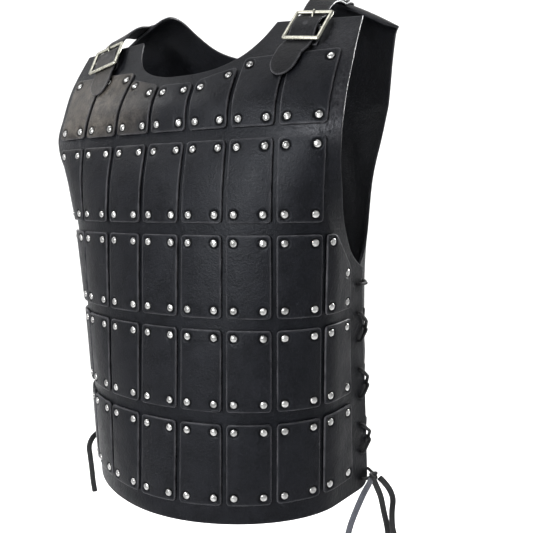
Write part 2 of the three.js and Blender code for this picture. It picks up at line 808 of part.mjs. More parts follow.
function strapStations(buckle) {
  const { hand } = buckle;
  const frame = buckleFrame(buckle);
  const lean = rad(buckle.lean);
  const stations = ON_BACK.map(({ width, height, rise }) => ({
    middle: onSide(BACK, hand * width, height, BACK_OUTER + rise),
    across: directions(BACK, hand * width, height).along,
    half: STRAP_HALF,
  }));
  const x = new THREE.Vector3().setFromMatrixColumn(frame, 0);
  for (const { along, rise } of ON_BUCKLE) {
    stations.push({
      middle: new THREE.Vector3(hand * STRAP_SHIFT, along, rise).applyMatrix4(frame),
      across: x.clone(),
      half: STRAP_HALF,
    });
  }
  for (const { width, height, rise, half } of ON_PLATES) {
    const { along, up } = directions(FRONT, hand * width, height);
    stations.push({
      middle: onSide(FRONT, hand * width, height, FRONT_OUTER + rise),
      across: along.multiplyScalar(Math.cos(lean)).addScaledVector(up, -hand * Math.sin(lean)),
      half,
    });
  }
  // The free span from the back tab to the buckle takes three more stations on a smooth curve
  const [a, b] = [stations[ON_BACK.length - 1], stations[ON_BACK.length]];
  const before = stations[ON_BACK.length - 2].middle;
  const after = stations[ON_BACK.length + 1].middle;
  const span = new THREE.CatmullRomCurve3([before, a.middle, b.middle, after], false, "centripetal");
  const bow = (u) => BOW * (1 - (2 * u - 1) ** 2);
  const bridge = [0.25, 0.5, 0.75].map((u) => ({
    middle: span.getPoint((1 + u) / 3).add(new THREE.Vector3(0, 0, bow(u))),
    across: a.across.clone().lerp(b.across, u).normalize(),
    half: STRAP_HALF,
  }));
  stations.splice(ON_BACK.length, 0, ...bridge);
  return stations;
}

const PRONG_COURSE = [
  { along: 2.9, rise: 9.2 },
  { along: 8, rise: 9.4 },
  { along: 14, rise: 9.8 },
  { along: 20, rise: 10 },
  { along: 24.2, rise: 8.8 },
];

function prongShape(radius) {
  const course = PRONG_COURSE.map(({ along, rise }) => new THREE.Vector3(0, along, rise));
  return smoothCord(course, 2 * radius, 2 * radius, PRONG.steps);
}

function strap(buckle) {
  const { hand } = buckle;
  const clear = prongShape(PRONG.radius + PRONG.clear).applyMatrix4(buckleFrame(buckle));
  let made = solid(ribbon(strapStations(buckle), STRAP)).subtract(solid(clear));
  const head = rivetHead(RIVET.base, RIVET.cap, RIVET.height, RIVET.root);
  for (const { width, height } of STRAP_RIVETS) {
    const placed = standing(head, BACK, hand * width, height, BACK_OUTER + SEAM + STRAP);
    made = made.add(solid(placed));
  }
  return geometryOf(made);
}

function frameShape() {
  const { wide, tall, bar, thick, centreBar } = FRAME;
  const square = (w, h) => [
    new THREE.Vector2(-w / 2, -h / 2),
    new THREE.Vector2(w / 2, -h / 2),
    new THREE.Vector2(w / 2, h / 2),
    new THREE.Vector2(-w / 2, h / 2),
  ];
  const shape = new THREE.Shape(square(wide, tall));
  shape.holes.push(new THREE.Path(square(wide - 2 * bar, tall - 2 * bar)));
  const ring = new THREE.ExtrudeGeometry(shape, { depth: thick, bevelEnabled: false });
  ring.translate(0, 0, -thick / 2);
  const pin = new THREE.CylinderGeometry(centreBar, centreBar, wide - bar, 8).rotateZ(Math.PI / 2);
  pin.scale(1, 1, FRAME.flattened);
  return geometryOf(solid(ring).add(solid(pin)));
}

// The chape: a riveted tail on the tab, and a loop round the centre bar with a slot for the prong
function chapeShape() {
  const { thick, tail, tailHalf, corner, narrowFrom, narrowTo, loopHalf } = CHAPE;
  const inner = FRAME.centreBar + SEAM;
  const outer = inner + thick;
  const low = SEAM;
  const outline = [
    new THREE.Vector2(CHAPE.loopFrom, low),
    new THREE.Vector2(CHAPE.loopUnder, low),
  ];
  for (const turn of [-50, -20, 10, 40, 70, 100, 130, 160, 190]) {
    outline.push(
      new THREE.Vector2(outer * Math.cos(rad(turn)), BUCKLE.lift + outer * Math.sin(rad(turn))),
    );
  }
  outline.push(new THREE.Vector2(CHAPE.loopOver, low + thick));
  outline.push(new THREE.Vector2(CHAPE.loopFrom, low + thick));
  const loop = new THREE.Shape(outline);
  const bore = [];
  for (let i = 0; i < 8; i++) {
    const turn = rad(45 * i + 22.5);
    bore.push(new THREE.Vector2(inner * Math.cos(turn), BUCKLE.lift + inner * Math.sin(turn)));
  }
  loop.holes.push(new THREE.Path(bore));
  const rolled = new THREE.ExtrudeGeometry(loop, { depth: 2 * loopHalf, bevelEnabled: false });
  // the extruded profile lies along and up; its depth becomes the width across
  rolled.applyMatrix4(
    new THREE.Matrix4().makeBasis(
      new THREE.Vector3(0, 1, 0),
      new THREE.Vector3(0, 0, 1),
      new THREE.Vector3(1, 0, 0),
    ),
  );
  rolled.translate(-loopHalf, 0, 0);
  const flap = new THREE.Shape([
    new THREE.Vector2(-tailHalf, tail + corner),
    new THREE.Vector2(-tailHalf + corner, tail),
    new THREE.Vector2(tailHalf - corner, tail),
    new THREE.Vector2(tailHalf, tail + corner),
    new THREE.Vector2(tailHalf, narrowFrom),
    new THREE.Vector2(loopHalf, narrowTo),
    new THREE.Vector2(-loopHalf, narrowTo),
    new THREE.Vector2(-tailHalf, narrowFrom),
  ]);
  const sheet = new THREE.ExtrudeGeometry(flap, { depth: thick, bevelEnabled: false });
  sheet.translate(0, 0, low);
  let made = solid(rolled).add(solid(sheet));
  const slot = new THREE.BoxGeometry(2 * CHAPE_SLOT.half, CHAPE_SLOT.along, CHAPE_SLOT.deep);
  slot.translate(0, CHAPE_SLOT.middle, BUCKLE.lift + CHAPE_SLOT.rise);
  made = made.subtract(solid(slot));
  const { base, cap, height, root, fromEnd } = CHAPE_RIVET;
  const head = rivetHead(base, cap, height, root).translate(0, tail + fromEnd, low + thick);
  return geometryOf(made.add(solid(head)));
}

// Free ends of the laces, flat, as steps from the knot: outwards, back and up
const FLAT_LACE = { wide: 7.2, thick: 2.4 };
const LACE_ENDS = [
  {
    name: "lace_end_left_front",
    hand: 1,
    steps: 8,
    course: [
      { out: 0.5, back: -8.7, up: -1.3 },
      { out: 1.5, back: -16, up: -3.5 },
      { out: 0.3, back: -28, up: -10.5 },
      { out: -5, back: -35, up: -27 },
      { out: -11, back: -37, up: -44.5 },
      { out: -15, back: -36, up: -57.5 },
      { out: -17, back: -37, up: -67 },
    ],
  },
  {
    name: "lace_end_left_loop",
    hand: 1,
    steps: 16,
    course: [
      { out: -1, back: 2.6, up: -5.8 },
      { out: 0, back: 7.5, up: -14 },
      { out: 2, back: 16, up: -30 },
      { out: 3, back: 24, up: -52 },
      { out: 4, back: 31, up: -72 },
      { out: 5, back: 36, up: -90 },
      { out: 9.5, back: 39, up: -96.5 },
      { out: 13.5, back: 35, up: -90 },
      { out: 12.5, back: 28, up: -72 },
      { out: 12, back: 27, up: -52 },
      { out: 11.5, back: 31, up: -38 },
      { out: 9.5, back: 28, up: -27 },
      { out: 6.5, back: 18, up: -14 },
      { out: 3.5, back: 9.5, up: -5 },
    ],
  },
  {
    name: "lace_end_right",
    hand: -1,
    steps: 9,
    course: [
      { out: 0.5, back: -9.8, up: -0.8 },
      { out: 2.5, back: -26, up: -5 },
      { out: 4.5, back: -43, up: -12 },
      { out: 4.5, back: -50, up: -22 },
      { out: 2.5, back: -51, up: -36 },
      { out: 1.5, back: -50, up: -54 },
      { out: 1, back: -49, up: -72 },
      { out: 0.5, back: -47, up: -88 },
    ],
  },
];

function laceEnd({ hand, course, steps }) {
  const knot = knotCentre(hand);
  const points = course.map(({ out, back, up }) =>
    knot.clone().add(new THREE.Vector3(hand * out, back, up)),
  );
  return smoothCord(points, FLAT_LACE.wide, FLAT_LACE.thick, steps);
}

const MATERIALS = {
  backing: new THREE.MeshStandardMaterial({ color: 0x16171a, roughness: 0.55, metalness: 0 }),
  plates: new THREE.MeshStandardMaterial({ color: 0x1c1d21, roughness: 0.42, metalness: 0 }),
  straps: new THREE.MeshStandardMaterial({ color: 0x1a1b1e, roughness: 0.5, metalness: 0 }),
  buckle: new THREE.MeshStandardMaterial({ color: 0xb9b7a4, roughness: 0.3, metalness: 1 }),
  lace: new THREE.MeshStandardMaterial({ color: 0x101114, roughness: 0.7, metalness: 0 }),
};

const garment = new THREE.Group();
garment.position.set(0, -SHOULDER_DEPTH, -SHOULDER_HEIGHT);

function add(name, geometry, material, group = garment) {
  const mesh = new THREE.Mesh(geometry, material);
  mesh.name = name;
  group.add(mesh);
}

add("front_panel", panel(FRONT, frontOutline()), MATERIALS.backing);
add("back_panel", panel(BACK, backOutline()), MATERIALS.backing);

for (const row of ROWS) {
  for (let k = -row.side; k <= row.side; k++) {
    add("lamella_r" + row.row + "_c" + (k + row.side + 1), plate(row, k), MATERIALS.plates);
  }
}

for (const buckle of BUCKLES) {
  const { name, hand } = buckle;
  add("strap_" + name, strap(buckle), MATERIALS.straps);
  const seat = new THREE.Group();
  seat.applyMatrix4(buckleFrame(buckle));
  const tilted = new THREE.Group();
  tilted.position.z = BUCKLE.lift;
  tilted.rotation.x = -rad(BUCKLE.tilt);
  add("chape_" + name, chapeShape(), MATERIALS.straps, seat);
  add("buckle_prong_" + name, prongShape(PRONG.radius), MATERIALS.buckle, seat);
  add("buckle_frame_" + name, frameShape(), MATERIALS.buckle, tilted);
  seat.add(tilted);
  garment.add(seat);
  add("side_lace_" + name, sideLace(hand), MATERIALS.lace);
}

for (const end of LACE_ENDS) add(end.name, laceEnd(end), MATERIALS.lace);

const group = new THREE.Group();
group.add(garment);

export default group;
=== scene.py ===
"""A worn lamellar vest of black leather, built around its fixed frame.

Flat cuts are written in millimetres, as a leather worker would draw them: a width from the
middle line and a height. A worn form carries them into the garment's space, and every piece
ends up in metres in the frame's own space.
"""

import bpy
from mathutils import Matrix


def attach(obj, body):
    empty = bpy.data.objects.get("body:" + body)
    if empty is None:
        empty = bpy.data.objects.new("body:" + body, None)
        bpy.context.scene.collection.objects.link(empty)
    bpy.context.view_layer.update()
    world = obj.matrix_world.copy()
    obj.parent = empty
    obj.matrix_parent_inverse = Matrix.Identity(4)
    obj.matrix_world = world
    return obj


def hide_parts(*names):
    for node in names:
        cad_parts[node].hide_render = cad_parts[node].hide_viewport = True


bl_info = {
    "name": "Lamellar Vest",
    "version": (1, 0, 0),
    "blender": (4, 5, 0),
    "location": "3D View > Sidebar > Vest",
    "description": "Builds a worn leather lamellar vest with riveted plates, buckles and laces",
    "category": "Add Mesh",
}

import bpy
import numpy as np
from mathutils import Matrix, Vector
from mathutils.geometry import delaunay_2d_cdt

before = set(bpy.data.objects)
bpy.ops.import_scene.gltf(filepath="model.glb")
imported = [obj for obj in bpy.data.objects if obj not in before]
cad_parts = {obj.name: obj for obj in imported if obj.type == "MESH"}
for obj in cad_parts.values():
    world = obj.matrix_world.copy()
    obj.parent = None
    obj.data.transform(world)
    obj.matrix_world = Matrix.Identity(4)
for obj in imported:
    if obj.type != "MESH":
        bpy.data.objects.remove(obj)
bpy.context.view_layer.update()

# From the garment's own space, in millimetres, to the frame's, in metres
MM = 0.001
SHOULDERS = np.array([0.0, 150.0, 300.0])

# Leather, in millimetres under or over the skin that the flat cuts are carried to
BACKING = 3.0
PLATE = 2.8
SEAM = 0.3
STRAP = 2.2
PLATE_OUTER = -1.0
PLATE_INNER = PLATE_OUTER - PLATE
FRONT_OUTER = PLATE_INNER - SEAM
FRONT_INNER = FRONT_OUTER - BACKING
BACK_OUTER = 0.0
BACK_INNER = -BACKING

# Plates and rivets
PITCH = 54.0
PLATE_WIDTH = 48.5
PLATE_CORNER = 5.0
RIVET_INSET = 8.4
RIVET_RADIUS = 4.1
RIVET_RISE = 2.1
# how far the rivets under the strap tips sit further in
HIDDEN_SHIFT = 5.0
# row, top, bottom, plates on each side of the middle one
ROWS = (
    (1, 221.0, 167.7, 3),
    (2, 155.8, 70.2, 3),
    (3, 57.9, -28.9, 4),
    (4, -41.0, -128.2, 4),
    (5, -141.4, -229.9, 4),
)
# heights of the first row's tops at the inner and the outer corner, from the middle plate
NECK_TOPS = ((221.0, 221.0), (222.5, 233.5), (243.5, 243.5), (243.5, 244.5))
ARMHOLE_CUT = {"width": 206.0, "height": 18.0, "rivet": 12.5}

# Horizontal sections: height, depth of the middle, half width, depth from the middle to the
# side, exponent, and the width past which the side runs straight on
SECTION_KEYS = ("height", "middle", "half", "depth", "power", "straight")
FRONT_SECTIONS = np.array(
    (
        (-260, -10.7, 171.6, 114.2, 1.79, 214),
        (-160, -4.3, 173.1, 104.8, 1.97, 214),
        (-60, 2.0, 174.7, 92.1, 2.16, 214),
        (40, 7.4, 180.3, 74.9, 2.21, 212),
        (110, 13.0, 182.8, 47.6, 2.05, 188),
        (165, 26.0, 198.9, 27.8, 1.79, 186),
        (200, 32.2, 212.8, 37.5, 1.57, 190),
        (240, 59.0, 230.2, 30.3, 1.5, 212),
        (290, 98.7, 248.2, 25.0, 1.5, 214),
    )
)
BACK_SECTIONS = np.array(
    (
        (-260, 240, 168, 70, 2.25, 190),
        (-160, 230, 166, 62, 2.3, 190),
        (-60, 226, 165, 58, 2.35, 190),
        (40, 236, 167, 68, 2.3, 190),
        (110, 250, 180, 80, 2.1, 190),
        (165, 260, 200, 84, 2.0, 190),
        (200, 263, 216, 86, 1.9, 190),
    )
)
FLARE = {"from": 236.0, "at": 271.0, "most": 1.5}
RIGHT_SIDE = {"most": 28.0, "over": 48.0, "top": 130.0, "bottom": -120.0}
RIGHT_FRONT_FROM = 188.0
RIGHT_BACK_FROM = 145.0
RISE = {"most": 11.0, "at": 200.0, "from": 60.0, "to": -280.0}
DRAW_IN = {"most": 5.5, "at": 200.0, "from": 120.0, "over": 115.0}
ROLL = {"from": 200.0, "radius": 98.0, "axis": 172.0, "rise": 128.0, "neck": 100.0}
SHOULDER_FALL = (0.32, 0.0014)

# Cut edges on the wearer's left half: width, height
HEM = ((0, -250.5), (100, -252), (190, -253.5), (250, -255))
HEM_CORNER = 12.0
FRONT_SIDE = 271.0
FRONT_ARMHOLE = (
    (271, 14),
    (256, 24),
    (243, 37),
    (232, 56),
    (221, 77),
    (210, 101),
    (203, 124),
    (200.5, 150),
    (200.5, 185),
    (199.5, 225),
    (197, 255),
    (195, 281),
)
FRONT_NECK = ((103, 287), (93, 267), (77, 250.5), (54, 239.5), (26, 234), (0, 233))
BACK_SIDE = 202.0
BACK_ARMHOLE = (
    (202, 14),
    (192, 26),
    (182, 48),
    (173, 84),
    (171, 125),
    (177, 175),
    (188, 235),
    (206, 300),
    (218, 343),
    (219, 365),
    (207, 383),
)
BACK_NECK = ((106, 383), (101, 372), (100, 335), (95, 305), (78, 281), (45, 266), (0, 261))

# Soft folds in the leather: start width and height, end width and height, spread, rise
FRONT_FOLDS = (
    (-150, 262, -118, 236, 8, -0.9),
    (118, 262, 170, 250, 9, -0.8),
    (205, 120, 252, 60, 9, 1.2),
    (-205, 110, -256, 40, 10, -1.3),
    (252, -60, 268, -150, 8, 1.0),
    (-254, -100, -268, -200, 8, 1.1),
    (-90, -242, 60, -246, 7, 0.7),
)
BACK_FOLDS = (
    (-150, -20, 30, -70, 15, 4.8),
    (40, -52, 165, -12, 14, 3.9),
    (-170, -86, -20, -112, 13, -3.6),
    (10, -118, 176, -92, 16, 4.2),
    (-120, -168, 96, -150, 17, -3.0),
    (-150, 90, -96, 205, 15, 3.3),
    (148, 78, 92, 198, 16, 3.8),
    (-70, 150, 74, 158, 22, -2.7),
    (-60, 240, 0, 60, 20, 2.4),
    (-150, 330, -112, 250, 11, 1.8),
    (152, 322, 118, 246, 11, -1.8),
    (60, -236, 150, -170, 13, 2.5),
    (-176, -236, -110, -180, 12, -2.4),
)

# Creased, shiny places beside the armholes, where a lighter colour paints their sheen: width,
# height, spread each way, strength
CRINKLES = (
    (176, 163, 34, 11, 1.0),
    (194, 190, 9, 40, 0.7),
    (160, 256, 40, 20, 0.45),
    (-170, 163, 40, 11, 0.6),
    (-194, 190, 9, 40, 0.5),
)

PANEL_EDGE_STEP = 4.0

# Side lacing
LACE_COUNT = 8
LACE_TOP = -5.0
LACE_PITCH = 34.0
LACE_FROM_EDGE = 10.5
LACE_HOLE = 3.0
LACE_RADIUS = 1.9
LACE_LIFT = 3.5
LACE_SLOPE = 0.35
LACE_OVER = 4.7
LACE_UNDER = 0.1
AROUND_EDGE = LACE_FROM_EDGE + 1.5
KNOT = {"stand": 5.2, "past_edge": 4.0, "drop": 1.0}
KNOT_CORD = 3.4
KNOT_HALF = np.array([4.2, 7.5, 5.2])

# Free ends of the laces, flat, as steps from the knot: outwards, back and up
LACE_WIDE = 7.2
LACE_THICK = 2.4
LACE_FACES = (0.6, -0.8, 0.1)
LACE_ENDS = {
    "lace_end_left_front": (
        1,
        "bare",
        (
            (0.5, -8.7, -1.3),
            (1.5, -16, -3.5),
            (0.3, -28, -10.5),
            (-5, -35, -27),
            (-11, -37, -44.5),
            (-15, -36, -57.5),
            (-17, -37, -67),
        ),
    ),
    "lace_end_left_loop": (
        1,
        "object",
        (
            (-1, 2.6, -5.8),
            (0, 7.5, -14),
            (2, 16, -30),
            (3, 24, -52),
            (4, 31, -72),
            (5, 36, -90),
            (9.5, 39, -96.5),
            (13.5, 35, -90),
            (12.5, 28, -72),
            (12, 27, -52),
            (11.5, 31, -38),
            (9.5, 28, -27),
            (6.5, 18, -14),
            (3.5, 9.5, -5),
        ),
    ),
    "lace_end_right": (
        -1,
        "bare",
        (
            (0.5, -9.8, -0.8),
            (2.5, -26, -5),
            (4.5, -43, -12),
            (4.5, -50, -22),
            (2.5, -51, -36),
            (1.5, -50, -54),
            (1, -49, -72),
            (0.5, -47, -88),
        ),
    ),
}

WORN_END = "lace_end_left_front"
CORD_POINTS = 30

# Shoulder buckles: hand, width, height and lean of each
BUCKLES = {"right": (-1, 146.0, 266.5, 18.0), "left": (1, 146.0, 270.0, 9.0)}
BUCKLE_TILT = 2.8
BUCKLE_LIFT = 7.9
FRAME_WIDE = 45.0
FRAME_TALL = 44.0
FRAME_BAR = 4.5
FRAME_THICK = 3.0
CENTRE_BAR = 1.6
STRAP_HALF = 15.0
STRAP_BOW = 5.0
STRAP_SHIFT = -2.0
STRAP_TIP = 21.0
STRAP_SLOT = 1.7
STRAP_PUNCH = 1.3
STRAP_RIVETS = ((131.0, 362.0), (151.0, 362.0))
# the strap's course: on the back panel, over the buckle, and down on the plates
ON_BACK = ((141, 342, 0.3), (141, 356, 0.3), (141, 369, 0.35), (141.5, 381, 0.5))
ON_BUCKLE = (
    (25, 2.5),
    (21, 2.3),
    (17.6, 2.7),
    (14, 4.5),
    (10, 6.5),
    (5, 7.8),
    (0, 8.0),
    (-5, 7.7),
    (-11, 6.3),
    (-16.4, 4.8),
    (-20, 4.4),
    (-24, 4.5),
)
ON_PLATES = (
    (136.5, 245.5, 5.4),
    (134.5, 238, 5.8),
    (132.6, 231, 5.8),
    (130.8, 224.5, 5.5),
    (129.6, 220.2, 5.1),
    (129, 217.8, 4.8),
)
BAR_DROP = 3.5
PRONG_COURSE = (
    (1.0, 6.8),
    (4.0, 6.0),
    (8.0, 5.3),
    (11.5, 5.7),
    (13.5, 6.9),
    (15.5, 8.3),
    (17.8, 9.2),
    (19.8, 9.4),
    (21.0, 9.2),
)
PRONG_RADIUS = 1.0
PRONG_CURL = 2.5
PRONG_SLOT = (12.8, 5.6)
SPARE_HOLE = (-1.5, 0.8, 9.0)
# the chape's middle layer, from its end on the tail, round the centre bar, to the tail's end
CHAPE_THICK = 1.4
CHAPE_TAIL_HALF = 17.0
CHAPE_LOOP_HALF = 14.8
CHAPE_ROUND = (190, 160, 130, 100, 70, 40, 10, -20, -48)
CHAPE_RETURN = ((-9.0, 2.4), (-6.0, 2.9))
CHAPE_TAIL = ((0.4, 1.8), (-1.8, 1.2), (-5.0, 1.0), (-10.0, 0.95), (-16.0, 0.95), (-22.0, 0.95))
CHAPE_RIVET_AT = -17.0
CHAPE_CORNER = 1.8
CHAPE_SLOT = 1.9
CHAPE_SLOT_SPOT = (0.0, 2.2, 6.2)

# The camera, in metres and degrees
EYE = (0.5009, -0.7283, -0.1971)
EYE_YAW = 31.87
EYE_PITCH = 6.106
EYE_ROLL = -0.871
IMAGE_SIDE = 533
FOCAL_PIXELS = 711.3
SENSOR = 36.0


# The round backdrop in metres, and the lights: place, width, height, what sets the power and
# how many times that power
BOWL = {"radius": 5.0, "corner": 1.6, "height": 4.5, "sides": 96}
LIGHTS = {
    "key light": ((-0.26, -2.38, 0.38), 0.36, 1.2, "key_power", 1.0),
    "top light": ((-0.4, -0.2, 2.6), 1.6, 1.6, "top_power", 1.0),
    "side light": ((-1.75, -0.8, 1.4), 0.8, 0.8, "side_power", 1.0),
    "back light": ((0.7, 2.6, 0.9), 0.7, 1.5, "side_power", 5.0),
}
LIGHTS_AIM = (0, -0.05, -0.27)


# Curves and sections


def unit(vectors):
    """Vectors of length one."""
    return vectors / np.linalg.norm(vectors, axis=-1, keepdims=True)


def smooth_column(table, key, height):
    """One column of a section table at any height: a cubic between rows whose slope at each
    row is that of its two neighbours, and a straight line past the ends."""
    rows = table[:, 0]
    value = table[:, SECTION_KEYS.index(key)]
    chord = np.diff(value) / np.diff(rows)
    slope = np.empty(len(rows))
    slope[[0, -1]] = chord[[0, -1]]
    slope[1:-1] = (value[2:] - value[:-2]) / (rows[2:] - rows[:-2])
    i = np.clip(np.searchsorted(rows, height, side="right") - 1, 0, len(rows) - 2)
    span = rows[i + 1] - rows[i]
    u = (height - rows[i]) / span
    between = (
        (1 + 2 * u) * (1 - u) ** 2 * value[i]
        + u * (1 - u) ** 2 * span * slope[i]
        + u * u * (3 - 2 * u) * value[i + 1]
        + u * u * (u - 1) * span * slope[i + 1]
    )
    below = value[0] + slope[0] * (height - rows[0])
    above = value[-1] + slope[-1] * (height - rows[-1])
    return np.where(height <= rows[0], below, np.where(height >= rows[-1], above, between))


ARC_HEIGHTS = np.arange(-300.0, 331.0, 2.0)
ARC_RUNS = np.arange(0.0, 301.0, 1.0)
ARC_STEPS = 220
ARC_END = 0.75 * np.pi
STRAIGHT_STEP = 4.0


def arc_table(table):
    """Half superellipses laid out by their own length, one row for each height and one column
    for each millimetre from the middle: x and the depth back from the middle. Past the
    straight width a row runs on in a straight line."""
    turn = np.linspace(0, ARC_END, ARC_STEPS + 1)
    rows = []
    for height in ARC_HEIGHTS:
        half, depth, power, straight = (
            smooth_column(table, key, height) for key in ("half", "depth", "power", "straight")
        )
        x = half * np.sin(turn) ** (2 / power)
        y = depth * (1 - np.sign(np.cos(turn)) * np.abs(np.cos(turn)) ** (2 / power))
        run = np.concatenate([[0], np.cumsum(np.hypot(np.diff(x), np.diff(y)))])
        ends = np.array([straight - STRAIGHT_STEP, straight])
        marks = np.array([np.interp(ends, run, x), np.interp(ends, run, y)])
        way = marks[:, 1] - marks[:, 0]
        way /= np.hypot(*way)
        over = np.maximum(ARC_RUNS - straight, 0)
        inside = np.minimum(ARC_RUNS, straight)
        rows.append(
            [np.interp(inside, run, x) + way[0] * over, np.interp(inside, run, y) + way[1] * over]
        )
    return np.array(rows).transpose(1, 0, 2)


FRONT_ARCS = arc_table(FRONT_SECTIONS)
BACK_ARCS = arc_table(BACK_SECTIONS)


def across(arcs, height, width):
    """x and depth at a height and a width, between the four nearest places of an arc table."""
    step = ARC_HEIGHTS[1] - ARC_HEIGHTS[0]
    v = np.clip((height - ARC_HEIGHTS[0]) / step, 0, len(ARC_HEIGHTS) - 1.001)
    u = np.clip(width, 0, len(ARC_RUNS) - 1.001)
    i, j = v.astype(int), u.astype(int)
    v, u = v - i, u - j
    low = arcs[:, i, j] * (1 - u) + arcs[:, i, j + 1] * u
    high = arcs[:, i + 1, j] * (1 - u) + arcs[:, i + 1, j + 1] * u
    return low * (1 - v) + high * v


def rise_at(width, height):
    """How far a row's cut lies higher towards the sides: a parabola that fades in upwards."""
    low = np.clip((RISE["from"] - height) / (RISE["from"] - RISE["to"]), 0, 1)
    return RISE["most"] * low * (width / RISE["at"]) ** 2


def fullness(width, height, start):
    """How far the wearer's right side stands out: an S-shaped step across the width that
    grows towards the hem."""
    low = np.clip(
        (RIGHT_SIDE["top"] - height) / (RIGHT_SIDE["top"] - RIGHT_SIDE["bottom"]), 0, 1
    )
    u = np.clip((-width - start) / RIGHT_SIDE["over"], 0, 1)
    return RIGHT_SIDE["most"] * low * u * u * (3 - 2 * u)


def front_skin(width, height):
    """The worn front: at each height a half superellipse, walked along by the width, with its
    rows raised and drawn in a little."""
    size = np.abs(width)
    z = height + rise_at(width, height)
    drawn = np.clip((height - DRAW_IN["from"]) / DRAW_IN["over"], 0, 1.3)
    inwards = DRAW_IN["most"] * drawn * np.sin(np.pi * np.minimum(size / DRAW_IN["at"], 1))
    x, y = across(FRONT_ARCS, z, np.maximum(size - inwards, 0))
    past = np.maximum(size - FLARE["from"], 0) / (FLARE["at"] - FLARE["from"])
    x = x + FLARE["most"] * past**2 + fullness(width, height, RIGHT_FRONT_FROM)
    return np.stack([np.sign(width) * x, smooth_column(FRONT_SECTIONS, "middle", z) + y, z], -1)


def back_skin(width, height):
    """The worn back: half superellipses up to the shoulder blades, and above them a circular
    roll forward over the shoulder line, which falls away from the neck."""
    size = np.abs(width)
    low = np.minimum(height, ROLL["from"])
    z = low + rise_at(width * FRONT_SIDE / BACK_SIDE, low)
    x, y = across(BACK_ARCS, z, size)
    y = smooth_column(BACK_SECTIONS, "middle", z) - y
    turn = np.maximum(height - ROLL["from"], 0) / ROLL["radius"]
    out = np.maximum(x - ROLL["neck"], 0)
    rise = ROLL["rise"] - SHOULDER_FALL[0] * out - SHOULDER_FALL[1] * out * out
    full = fullness(width, low, RIGHT_BACK_FROM)
    y = ROLL["axis"] + (y - ROLL["axis"]) * np.cos(turn)
    return np.stack([np.sign(width) * (x + full), y, z + rise * np.sin(turn)], -1)


def directions(skin, facing, width, height):
    """Along the width, up the cut and outwards, from places 1.5 mm to each side."""
    reach = 1.5
    along = unit(skin(width + reach, height) - skin(width - reach, height))
    up = unit(skin(width, height + reach) - skin(width, height - reach))
    return along, up, unit(np.cross(along, up)) * facing


def on_front(flat, offset):
    """Places of the front's cut, carried out along its normal."""
    flat = np.asarray(flat, float)
    out = directions(front_skin, 1, flat[..., 0], flat[..., 1])[2]
    return front_skin(flat[..., 0], flat[..., 1]) + out * np.asarray(offset)[..., None]


def on_back(flat, offset):
    """Places of the back's cut, carried out along its normal."""
    flat = np.asarray(flat, float)
    out = directions(back_skin, -1, flat[..., 0], flat[..., 1])[2]
    return back_skin(flat[..., 0], flat[..., 1]) + out * np.asarray(offset)[..., None]


def folds(table, flat):
    """Soft folds: round a line, a bell-shaped ridge or trough that fades at the line's ends."""
    rise = np.zeros(len(flat))
    for w0, h0, w1, h1, spread, height in table:
        start = np.array([w0, h0], float)
        way = np.array([w1, h1]) - start
        t = (flat - start) @ way / (way @ way)
        near = start + np.clip(t, 0, 1)[:, None] * way
        distance = np.linalg.norm(flat - near, axis=1)
        fade = np.sin(np.pi * np.clip(0.06 + 0.88 * t, 0, 1))
        rise += height * np.exp(-((distance / spread) ** 2)) * fade
    return rise


def spline(points, step):
    """A centripetal Catmull-Rom curve through points, in steps of about the given length: on
    each stretch a cubic whose end slopes follow the neighbours' distances."""
    p = np.asarray(points, float)
    p = np.concatenate([[2 * p[0] - p[1]], p, [2 * p[-1] - p[-2]]])
    knots = np.sqrt(np.maximum(np.linalg.norm(np.diff(p, axis=0), axis=1), 1e-6))
    curve = []
    for i in range(1, len(p) - 2):
        d0, d1, d2 = knots[i - 1 : i + 2]
        start = (p[i] - p[i - 1]) / d0 - (p[i + 1] - p[i - 1]) / (d0 + d1)
        start = (start + (p[i + 1] - p[i]) / d1) * d1
        end = (p[i + 1] - p[i]) / d1 - (p[i + 2] - p[i]) / (d1 + d2)
        end = (end + (p[i + 2] - p[i + 1]) / d2) * d1
        count = max(int(np.ceil(np.linalg.norm(p[i + 1] - p[i]) / step)), 1)
        u = np.arange(count)[:, None] / count
        a = 2 * p[i] - 2 * p[i + 1] + start + end
        b = -3 * p[i] + 3 * p[i + 1] - 2 * start - end
        curve.append(((a * u + b) * u + start) * u + p[i])
    return np.concatenate([*curve, [p[-2]]])


def run_of(points):
    """The length along a row of points, from its first one."""
    return np.concatenate([[0], np.cumsum(np.linalg.norm(np.diff(points, axis=0), axis=1))])


# Flat cuts


def mirrored(half):
    """A closed outline from its right half, whose ends lie on the middle line."""
    half = np.asarray(half, float)
    other = half[half[:, 0] > 0][::-1] * (-1, 1)
    return np.concatenate([half, other])


def dotted(loop, step):
    """A closed outline with further points on its long stretches, about a step apart."""
    after = np.roll(loop, -1, axis=0)
    counts = np.maximum(np.ceil(np.linalg.norm(after - loop, axis=1) / step), 1).astype(int)
    start = np.repeat(np.arange(len(loop)), counts)
    share = np.concatenate([np.arange(n) / n for n in counts])[:, None]
    return loop[start] * (1 - share) + after[start] * share


def inset(loop, distance):
    """A closed outline moved to its left by a distance, mitred at its corners."""
    ahead = unit(np.roll(loop, -1, axis=0) - loop)
    behind = np.roll(ahead, 1, axis=0)
    left = unit(np.stack([-(ahead + behind)[:, 1], (ahead + behind)[:, 0]], -1))
    reach = np.clip((left * np.stack([-ahead[:, 1], ahead[:, 0]], -1)).sum(-1), 0.6, 1)
    return loop + left * (distance / reach)[:, None]


